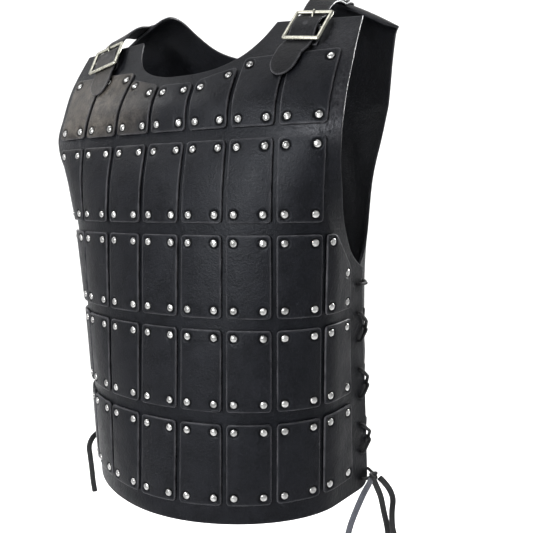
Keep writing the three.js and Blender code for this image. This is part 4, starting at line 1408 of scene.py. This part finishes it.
def frame_ring():
    """A buckle's rectangular bar: its profile carried round a rectangle with tight corners."""
    wide, tall = FRAME_WIDE / 2 - FRAME_BAR / 2, FRAME_TALL / 2 - FRAME_BAR / 2
    loop = rounded([(-wide, -tall), (wide, -tall), (wide, tall), (-wide, tall)], 1.6)
    profile = frame_profile()
    rings = np.array([inset(loop, -across_bar) for across_bar, _ in profile])
    rise = np.broadcast_to(profile[:, 1][:, None, None], (*rings.shape[:2], 1))
    points = np.concatenate([rings, rise], -1)
    index = np.arange(points.shape[0] * points.shape[1]).reshape(points.shape[:2])
    after = np.roll(index, -1, axis=0)
    quads = np.stack([index, after, np.roll(after, -1, 1), np.roll(index, -1, 1)], -1)
    return points.reshape(-1, 3), quads.reshape(-1, 4)


# Operators


class VEST_OT_camera(bpy.types.Operator):
    """Set the camera in front of the wearer's left, a little above the chest"""

    bl_idname = "vest.camera"
    bl_label = "Camera"

    def execute(self, context):
        yaw, pitch, roll = (np.radians(turn) for turn in (EYE_YAW, EYE_PITCH, EYE_ROLL))
        forward = np.array(
            [-np.sin(yaw) * np.cos(pitch), np.cos(yaw) * np.cos(pitch), -np.sin(pitch)]
        )
        level = np.array([np.cos(yaw), np.sin(yaw), 0])
        upright = np.cross(level, forward)
        right = np.cos(roll) * level + np.sin(roll) * upright
        up = np.cos(roll) * upright - np.sin(roll) * level
        data = bpy.data.cameras.new("camera")
        data.sensor_width = SENSOR
        data.lens = FOCAL_PIXELS / IMAGE_SIDE * SENSOR
        camera = bpy.data.objects.new("camera", data)
        turn = np.eye(4)
        turn[:3, 0], turn[:3, 1], turn[:3, 2], turn[:3, 3] = right, up, -forward, EYE
        camera.matrix_world = Matrix(turn.tolist())
        context.scene.collection.objects.link(camera)
        context.scene.camera = camera
        return {"FINISHED"}


class VEST_OT_free_laces(bpy.types.Operator):
    """Hang the three free ends of the laces below their knots"""

    bl_idname = "vest.free_laces"
    bl_label = "Free lace ends"

    def execute(self, context):
        shapes = context.scene.vest_shapes
        for name, (hand, far_end, steps) in LACE_ENDS.items():
            route = knot_centre(hand) + np.array(steps, float) * (hand, 1, 1)
            path = evenly(spline(route, 1.0), 1.0)
            points, quads, triangles, flat = rope(
                path, LACE_WIDE, LACE_THICK, 20, 5, 7.0, shapes.braid, LACE_FACES
            )
            finish = "worn lace" if name == WORN_END else "braided lace"
            piece = new_piece(
                "flat_" + name, points, [quads, triangles], looks()[finish], flat
            )
            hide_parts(name)
            line = (path - SHOULDERS) * MM
            route = evenly(line, run_of(line)[-1] / CORD_POINTS)
            float(run_of(line)[-1])
        return {"FINISHED"}


class VEST_OT_side_laces(bpy.types.Operator):
    """Lace both sides through their holes and knot them"""

    bl_idname = "vest.side_laces"
    bl_label = "Side laces"

    def execute(self, context):
        shapes = context.scene.vest_shapes
        for name, hand in (("left", 1), ("right", -1)):
            parts = []
            knot = knot_path(knot_centre(hand))
            for path, wide in ((lace_path(hand), 2 * LACE_RADIUS), (knot, KNOT_CORD)):
                line = evenly(path, 0.9)
                points, quads, triangles, flat = rope(line, wide, wide, 14, 4, 5.0, shapes.braid)
                parts.append((points, [quads, triangles], flat, {}))
            points, faces, flat, _ = merged(parts)
            piece = new_piece(
                "braided_lace_" + name, points, faces, looks()["braided lace"], flat
            )
            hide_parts("side_lace_" + name)
        return {"FINISHED"}


def lace_holes(edge):
    """The round holes down both sides of a panel."""
    heights = LACE_TOP - LACE_PITCH * np.arange(LACE_COUNT)
    return [
        circle((hand * (edge - LACE_FROM_EDGE), height), LACE_HOLE, 14)
        for hand in (-1, 1)
        for height in heights
    ]


def crinkled(sheet):
    """Where the front is creased and shiny: bells at the armholes beside the first rows."""
    marks = np.zeros(len(sheet))
    for width, height, wide, tall, most in CRINKLES:
        u = (sheet - (width, height)) / (wide, tall)
        marks += most * np.exp(-(u**2).sum(-1))
    return np.clip(marks, 0, 1)


def panel_marks(sheet, edge, edge_width):
    """A panel's marks: worn edges with a faint painted edge highlight, painted shade darkening the
    pressed leather round the lace holes, and no dust or painted sheen.
    """
    centres = np.array([hole.mean(0) for hole in lace_holes(edge_width)])
    near = nearest(sheet, [centres])
    return {
        "edge": 0.3 * edge,
        "pressed_shade": np.clip(1.6 - near / 4.2, 0, 0.8),
        "dust_and_sheen": np.zeros(len(sheet)),
        "crinkle": crinkled(sheet) if edge_width == FRONT_SIDE else np.zeros(len(sheet)),
    }


def leather_panel(name, skin, cut, side, wrinkles, hand):
    """A panel of backing leather: its cut with the lace holes, carried to its skin between
    two offsets, with its soft folds. Hand is -1 where the cut is seen from behind."""
    place, outer, inner = skin
    points, triangles, quads, sheet, edge = cut_leather(
        place,
        panel_outline(side, *cut, PANEL_EDGE_STEP),
        outer,
        inner,
        holes=lace_holes(side),
        step=bpy.context.scene.vest_shapes.panel_step,
        relief=lambda flat: folds(wrinkles, flat),
    )
    return new_piece(
        name,
        points,
        outwards(quads, triangles, hand),
        looks()["backing leather"],
        sheet,
        panel_marks(sheet, edge, side),
    )


class VEST_OT_front_panel(bpy.types.Operator):
    """Cut the front's backing leather and give it its worn form"""

    bl_idname = "vest.front_panel"
    bl_label = "Front panel"

    def execute(self, context):
        skin = (on_front, FRONT_OUTER, FRONT_INNER)
        cut = (FRONT_ARMHOLE, FRONT_NECK)
        piece = leather_panel("front_leather", skin, cut, FRONT_SIDE, FRONT_FOLDS, 1)
        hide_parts("front_panel")
        return {"FINISHED"}


class VEST_OT_back_panel(bpy.types.Operator):
    """Cut the back's leather and roll it over the shoulders"""

    bl_idname = "vest.back_panel"
    bl_label = "Back panel"

    def execute(self, context):
        skin = (on_back, BACK_OUTER, BACK_INNER)
        cut = (BACK_ARMHOLE, BACK_NECK)
        piece = leather_panel("back_leather", skin, cut, BACK_SIDE, BACK_FOLDS, -1)
        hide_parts("back_panel")
        return {"FINISHED"}


def plate_cut(row, k):
    """A plate's rounded outline and its four rivets, on the flat cut."""
    number, top, bottom, _ = row
    left = k * PITCH - PLATE_WIDTH / 2
    right = left + PLATE_WIDTH
    tops = (top, top)
    if number == 1:
        inner, outer = NECK_TOPS[abs(k)]
        tops = (outer, inner) if k < 0 else (inner, outer)
    corners = [(left, bottom), (right, bottom), (right, tops[1]), (left, tops[0])]
    near = RIVET_INSET
    tucked = HIDDEN_SHIFT if number == 1 and abs(k) == 3 else 0.0
    rivets = [
        (left + near, bottom + near),
        (right - near, bottom + near),
        (right - near + (tucked if k < 0 else 0), tops[1] - near),
        (left + near - (tucked if k > 0 else 0), tops[0] - near),
    ]
    if number == 3 and k == 4:
        corners[2] = (right, ARMHOLE_CUT["height"])
        corners.insert(3, (ARMHOLE_CUT["width"], top))
        rivets[2] = (right - near, ARMHOLE_CUT["rivet"])
    if number == 3 and k == -4:
        corners[3] = (left, ARMHOLE_CUT["height"])
        corners.insert(3, (-ARMHOLE_CUT["width"], top))
        rivets[3] = (left + near, ARMHOLE_CUT["rivet"])
    return rounded(corners, PLATE_CORNER), np.array(rivets)


RIVET_RINGS = (2.0, 4.6, 5.3, 6.2, 7.4)
DIMPLE_FROM = 4.4


def rivet_rings(rivets):
    """Rings of points round each rivet, so that its dimple is round."""
    return np.concatenate(
        [circle(spot, radius, 16) for spot in rivets for radius in RIVET_RINGS]
    )


def shaded_rivet_ring(rivets, sheet):
    """How much painted shade darkens the leather, and how much rougher it is: a peak on the rim of
    each rivet, in straight slopes.
    """
    gap = nearest(sheet, [rivets])
    return np.clip(1.5 - np.abs(gap - DIMPLE_FROM) / 1.1, 0, 0.85)


def plate_relief(rivets, centre, warp, shapes):
    """A plate's form over its backing: a crown in its middle, a slight cup and twist of its
    own, and a round dimple under each rivet."""

    def relief(flat):
        """How far the plate's faces stand out at flat points."""
        u = (flat - centre) / (PLATE_WIDTH / 2, 43.0)
        crown = shapes.crown * (1 - np.clip(u[:, 0] ** 2, 0, 1)) * (1 - np.clip(u[:, 1] ** 4, 0, 1))
        bend = warp[0] * u[:, 0] * u[:, 1] + warp[1] * (u[:, 1] ** 2 - 0.3) + warp[2] * u[:, 0]
        gap = nearest(flat, [rivets])
        dimple = shapes.dimple * np.exp(-((np.maximum(gap - DIMPLE_FROM, 0) / 1.25) ** 2))
        return crown + bend - dimple

    return relief


class VEST_OT_plates(bpy.types.Operator):
    """Cut the leather plates, row by row, each with a slight shape of its own"""

    bl_idname = "vest.plates"
    bl_label = "Leather plates"

    def execute(self, context):
        shapes = context.scene.vest_shapes
        chance = np.random.default_rng(11)
        for row in ROWS:
            number, top, bottom, side = row
            parts, names = [], []
            for k in range(-side, side + 1):
                outline, rivets = plate_cut(row, k)
                warp = chance.uniform((-0.35, -0.3, -0.3), (0.35, 0.35, 0.3))
                centre = np.array([k * PITCH, (top + bottom) / 2])
                points, triangles, quads, sheet, edge = cut_leather(
                    on_front,
                    dotted(outline, 3.0),
                    PLATE_OUTER,
                    PLATE_INNER,
                    extra=rivet_rings(rivets),
                    step=4.5,
                    rim=shapes.plate_rim,
                    relief=plate_relief(rivets, centre, warp, shapes),
                )
                # Dust and a painted warm sheen on the upper plates towards the wearer's right
                high = np.clip((sheet[:, 1] - 150) / 30, 0, 1)
                far = np.clip((-10 - sheet[:, 0]) / 110, 0, 1)
                dust_and_sheen = high * far * chance.uniform(0.75, 1.0)
                marks = {"edge": edge, "dust_and_sheen": dust_and_sheen, "crinkle": 0 * edge}
                # Painted shade ring round each rivet
                marks["pressed_shade"] = shaded_rivet_ring(rivets, sheet)
                parts.append((points, [triangles, quads], sheet + k * 7.0, marks))
                names.append(f"lamella_r{number}_c{k + side + 1}")
            points, faces, flat, marks = merged(parts)
            leather = looks()["plate leather"]
            row_name = f"plates_row_{number}"
            piece = new_piece(row_name, points, faces, leather, flat, marks)
            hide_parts(*names)
        return {"FINISHED"}


def rivet_cap():
    """A rivet's domed cap: a thin flange and a flattened dome, turned."""
    turn = np.radians(np.linspace(90, 0, 5))
    rise = 0.25 + (RIVET_RISE - 0.25) * np.cos(turn)
    dome = np.stack([RIVET_RADIUS * np.sin(turn) ** 0.85, rise], -1)
    return turned([(0, -1.0), (RIVET_RADIUS, -1.0), *dome.tolist()], 12)


class VEST_OT_rivets(bpy.types.Operator):
    """Set the domed rivets of the plates"""

    bl_idname = "vest.rivets"
    bl_label = "Rivets"

    def execute(self, context):
        spots = np.concatenate(
            [plate_cut(row, k)[1] for row in ROWS for k in range(-row[3], row[3] + 1)]
        )
        along, _, out = directions(front_skin, 1, spots[:, 0], spots[:, 1])
        seat = PLATE_OUTER - context.scene.vest_shapes.dimple + 0.65
        cap, quads, triangles = rivet_cap()
        centres = on_front(spots, np.full(len(spots), seat))
        points = placed(cap, centres, along, -np.cross(along, out), out)
        faces = [repeated(quads, len(spots), len(cap)), repeated(triangles, len(spots), len(cap))]
        new_piece("plate_rivets", points, faces, looks()["rivet plating"])
        return {"FINISHED"}


class VEST_OT_straps(bpy.types.Operator):
    """Lay the shoulder straps over the back tabs and through the buckles"""

    bl_idname = "vest.straps"
    bl_label = "Shoulder straps"

    def execute(self, context):
        for name, spec in BUCKLES.items():
            hand = spec[0]
            spots, ways = strap_stations(*spec)
            place, length, path, run = along_path(spots, ways)
            axes, middle = buckle_frame(*spec)
            prong = in_frame((0, *PRONG_SLOT), axes, middle)
            at = run[np.argmin(np.linalg.norm(path - prong, axis=1))]
            spare = in_frame(SPARE_HOLE, axes, middle)
            spare_at = run[np.argmin(np.linalg.norm(path - spare, axis=1))]
            turn = np.radians(np.linspace(90, -90, 15))
            tip_height = length - STRAP_TIP + STRAP_TIP * np.cos(turn)
            tip = np.stack([STRAP_HALF * np.sin(turn), tip_height], -1)
            start = [(-STRAP_HALF, 3), (-STRAP_HALF + 3, 0), (STRAP_HALF - 3, 0), (STRAP_HALF, 3)]
            outline = dotted(np.array([*start, *tip.tolist()]), 2.5)
            hole_at = -hand * STRAP_SHIFT
            slot = circle((0, 0), STRAP_SLOT, 14) * (1, 2.0) + (hole_at, at)
            punched = circle((0, spare_at), STRAP_PUNCH, 12)
            rivets = np.array([(side, 10.0) for side in (-10.0, 10.0)])
            points, triangles, quads, sheet, edge = cut_leather(
                place,
                outline,
                STRAP,
                0.0,
                holes=[slot, punched],
                extra=rivet_rings(rivets),
                step=3.0,
                rim=0.7,
            )
            # The wearer's right strap gets the brown colour of dust and painted warm sheen towards
            # its end
            dust_and_sheen_share = 0.6 if hand < 0 else 0.05
            marks = {
                "edge": edge,
                "pressed_shade": shaded_rivet_ring(rivets, sheet),
                "dust_and_sheen": dust_and_sheen_share * np.clip((sheet[:, 1] - 0.3 * length) / length, 0, 1),
                "crinkle": 0 * edge,
            }
            piece = new_piece(
                "strap_leather_" + name,
                points,
                outwards(quads, triangles, 1),
                looks()["strap leather"],
                sheet,
                marks,
            )
            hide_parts("strap_" + name)
            flat_spots = np.array([(hand * w, h) for w, h in STRAP_RIVETS])
            along, _, out = directions(back_skin, -1, flat_spots[:, 0], flat_spots[:, 1])
            cap, cap_quads, cap_triangles = rivet_cap()
            centres = on_back(flat_spots, np.full(2, BACK_OUTER + SEAM + STRAP - 0.2))
            points = placed(cap, centres, along, np.cross(out, along), out)
            faces = [repeated(cap_quads, 2, len(cap)), repeated(cap_triangles, 2, len(cap))]
            new_piece("strap_rivets_" + name, points, faces, looks()["rivet plating"])
        return {"FINISHED"}


class VEST_OT_chapes(bpy.types.Operator):
    """Fold the chapes round the buckles' centre bars and rivet them to the front tabs"""

    bl_idname = "vest.chapes"
    bl_label = "Chapes"

    def execute(self, context):
        for name, spec in BUCKLES.items():
            axes, middle = buckle_frame(*spec)
            radius = CENTRE_BAR + 0.15 + CHAPE_THICK / 2
            turn = np.radians(CHAPE_ROUND)
            bar_lift = BUCKLE_LIFT - BAR_DROP
            round_bar = np.stack([radius * np.cos(turn), bar_lift + radius * np.sin(turn)], -1)
            course = np.concatenate([CHAPE_RETURN, round_bar, CHAPE_TAIL])
            local = np.stack([0 * course[:, 0], course[:, 0], course[:, 1]], -1)
            spots = in_frame(local, axes, middle)
            ways = np.broadcast_to(axes[0], spots.shape)
            place, length, path, run = along_path(spots, -ways, 0.5)
            tail, loop = CHAPE_TAIL_HALF, CHAPE_LOOP_HALF
            left = [(-tail, length), (-tail, length - 9), (-loop, length - 14)]
            right = [(loop, length - 14), (tail, length - 9), (tail, length)]
            corners = [(-loop, 0), (loop, 0), *right, *left]
            outline = dotted(rounded(corners, CHAPE_CORNER), 2.0)
            slot_spot = in_frame(CHAPE_SLOT_SPOT, axes, middle)
            slot_at = run[np.argmin(np.linalg.norm(path - slot_spot, axis=1))]
            slot = circle((0, 0), CHAPE_SLOT, 14) * (1, 2.4) + (0, slot_at)
            points, triangles, quads, sheet, edge = cut_leather(
                place,
                outline,
                CHAPE_THICK / 2,
                -CHAPE_THICK / 2,
                holes=[slot],
                step=2.4,
                rim=0.6,
            )
            marks = {"edge": edge, "pressed_shade": 0 * edge, "dust_and_sheen": 0 * edge, "crinkle": 0 * edge}
            piece = new_piece(
                "chape_leather_" + name,
                points,
                outwards(quads, triangles, 1),
                looks()["strap leather"],
                sheet,
                marks,
            )
            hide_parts("chape_" + name)
            cap, quads, triangles = rivet_cap()
            centre = in_frame((0, CHAPE_RIVET_AT, SEAM + CHAPE_THICK - 0.2), axes, middle)
            points = placed(cap * (0.82, 0.82, 0.6), centre[None], *(axis[None] for axis in axes))
            plating = looks()["rivet plating"]
            new_piece("chape_rivet_" + name, points, [quads, triangles], plating)
        return {"FINISHED"}


class VEST_OT_buckles(bpy.types.Operator):
    """Make the bevelled buckle frames, their centre bars and their prongs"""

    bl_idname = "vest.buckles"
    bl_label = "Buckles"

    def execute(self, context):
        plating = looks()["buckle plating"]
        for name, spec in BUCKLES.items():
            axes, middle = buckle_frame(*spec)
            tilt = np.radians(-BUCKLE_TILT)
            turn = np.array(
                [[1, 0, 0], [0, np.cos(tilt), np.sin(tilt)], [0, -np.sin(tilt), np.cos(tilt)]]
            )
            ring, ring_quads = frame_ring()
            half = FRAME_WIDE / 2 - FRAME_BAR / 2
            reach = np.linspace(-1, 1, 41)
            drop = BAR_DROP * np.clip(7 * (1 - np.abs(reach)), 0, 1) ** 1.5
            bar = np.stack([half * reach, np.zeros(41), -drop], -1)
            rod, rod_quads, rod_caps, _ = rope(bar, 2 * CENTRE_BAR, 1.6 * CENTRE_BAR, 16)
            parts = [
                (ring, [ring_quads], 0 * ring[:, :2], {}),
                (rod, [rod_quads, rod_caps], 0 * rod[:, :2], {}),
            ]
            local, faces, _, _ = merged(parts)
            local = local @ turn + (0, 0, BUCKLE_LIFT)
            points = in_frame(local, axes, middle)
            piece = new_piece("buckle_" + name, points, faces, plating)
            bevel = piece.modifiers.new("softened edges", "BEVEL")
            bevel.width = 0.00025
            bevel.segments = 2
            bevel.limit_method = "ANGLE"
            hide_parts("buckle_frame_" + name)
            course = spline([(0, along, rise) for along, rise in PRONG_COURSE], 0.8)
            prong, prong_quads, prong_caps, _ = rope(course, 2 * PRONG_RADIUS, 2 * PRONG_RADIUS, 12)
            turn = np.radians(np.linspace(-60, 200, 24))
            lift = BUCKLE_LIFT - BAR_DROP
            reach, rise = PRONG_CURL * np.cos(turn), PRONG_CURL * np.sin(turn)
            curl = np.stack([0 * turn, reach, lift + rise], -1)
            hook, hook_quads, hook_caps, _ = rope(curl, 2.0, 1.6, 12)
            parts = [
                (prong, [prong_quads, prong_caps], prong[:, :2], {}),
                (hook, [hook_quads, hook_caps], hook[:, :2], {}),
            ]
            local, faces, _, _ = merged(parts)
            points = in_frame(local, axes, middle)
            piece = new_piece("prong_" + name, points, faces, plating)
            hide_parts("buckle_prong_" + name)
        return {"FINISHED"}


class VEST_OT_stage(bpy.types.Operator):
    """Set the pale round floor and backdrop and the soft studio lights"""

    bl_idname = "vest.stage"
    bl_label = "Stage and lights"

    def execute(self, context):
        stage = context.scene.vest_stage
        material, _, shader = new_material("pale floor")
        shader.inputs["Base Color"].default_value = (*stage.floor_colour, 1)
        shader.inputs["Roughness"].default_value = 0.9
        radius, corner, height = BOWL["radius"], BOWL["corner"], BOWL["height"]
        turn = np.radians(np.linspace(0, 90, 14))
        profile = np.concatenate(
            [
                [(0.0, 0.0), (radius * 0.4, 0.0)],
                np.stack([radius - corner + corner * np.sin(turn), corner * (1 - np.cos(turn))], -1),
                [(radius, height)],
            ]
        )
        sides = BOWL["sides"]
        around = 2 * np.pi * np.arange(sides) / sides
        rings = np.stack(
            [
                profile[1:, :1] * np.cos(around),
                profile[1:, :1] * np.sin(around),
                np.broadcast_to(profile[1:, 1:], (len(profile) - 1, sides)),
            ],
            -1,
        ).reshape(-1, 3)
        index = np.arange(len(rings)).reshape(-1, sides)
        low, high = index[:-1], index[1:]
        quads = np.stack([low, high, np.roll(high, -1, 1), np.roll(low, -1, 1)], -1).reshape(-1, 4)
        centre = np.stack([index[0], np.roll(index[0], -1), np.full(sides, len(rings))], -1)
        points = np.concatenate([rings, [[0, 0, 0]]]) + (0, 0, stage.floor_height)
        mesh = bpy.data.meshes.new("floor")
        mesh.from_pydata(points.tolist(), [], quads.tolist() + centre.tolist())
        mesh.polygons.foreach_set("use_smooth", np.ones(len(mesh.polygons), bool))
        mesh.materials.append(material)
        floor = bpy.data.objects.new("floor", mesh)
        context.scene.collection.objects.link(floor)
        aim = Vector(LIGHTS_AIM)
        for name, (place, wide, tall, power, times) in LIGHTS.items():
            data = bpy.data.lights.new(name, "AREA")
            data.shape = "RECTANGLE"
            data.size = wide
            data.size_y = tall
            data.energy = times * getattr(stage, power)
            light = bpy.data.objects.new(name, data)
            light.location = place
            light.rotation_euler = (aim - Vector(place)).to_track_quat("-Z", "Y").to_euler()
            context.scene.collection.objects.link(light)
        world = context.scene.world or bpy.data.worlds.new("studio")
        context.scene.world = world
        world.use_nodes = True
        sky = world.node_tree.nodes["Background"]
        sky.inputs["Color"].default_value = (1, 1, 1, 1)
        sky.inputs["Strength"].default_value = stage.sky
        context.scene.view_settings.view_transform = "Standard"
        return {"FINISHED"}


PIECES = (
    VEST_OT_camera,
    VEST_OT_free_laces,
    VEST_OT_side_laces,
    VEST_OT_back_panel,
    VEST_OT_front_panel,
    VEST_OT_plates,
    VEST_OT_rivets,
    VEST_OT_chapes,
    VEST_OT_buckles,
    VEST_OT_straps,
    VEST_OT_stage,
)
GROUPS = {
    "vest_leather": VestLeather,
    "vest_shapes": VestShapes,
    "vest_metal": VestMetal,
    "vest_stage": VestStage,
}


class VEST_PT_sidebar(bpy.types.Panel):
    """The vest's sizes and colours, and a button for each piece"""

    bl_idname = "VEST_PT_sidebar"
    bl_label = "Lamellar Vest"
    bl_space_type = "VIEW_3D"
    bl_region_type = "UI"
    bl_category = "Vest"

    def draw(self, context):
        for name, group in GROUPS.items():
            box = self.layout.box()
            for key in group.__annotations__:
                box.prop(getattr(context.scene, name), key)
        for piece in PIECES:
            self.layout.operator(piece.bl_idname)


def register():
    """Add the property groups, the operators and the panel."""
    for name, group in GROUPS.items():
        bpy.utils.register_class(group)
        setattr(bpy.types.Scene, name, bpy.props.PointerProperty(type=group))
    for piece in (*PIECES, VEST_PT_sidebar):
        bpy.utils.register_class(piece)


def unregister():
    """Take them away again."""
    for piece in (VEST_PT_sidebar, *reversed(PIECES)):
        bpy.utils.unregister_class(piece)
    for name, group in reversed(GROUPS.items()):
        delattr(bpy.types.Scene, name)
        bpy.utils.unregister_class(group)


def main():
    """Build every piece in order."""
    register()
    for piece in PIECES:
        group, name = piece.bl_idname.split(".")
        getattr(getattr(bpy.ops, group), name)()


if __name__ == "__main__":
    main()
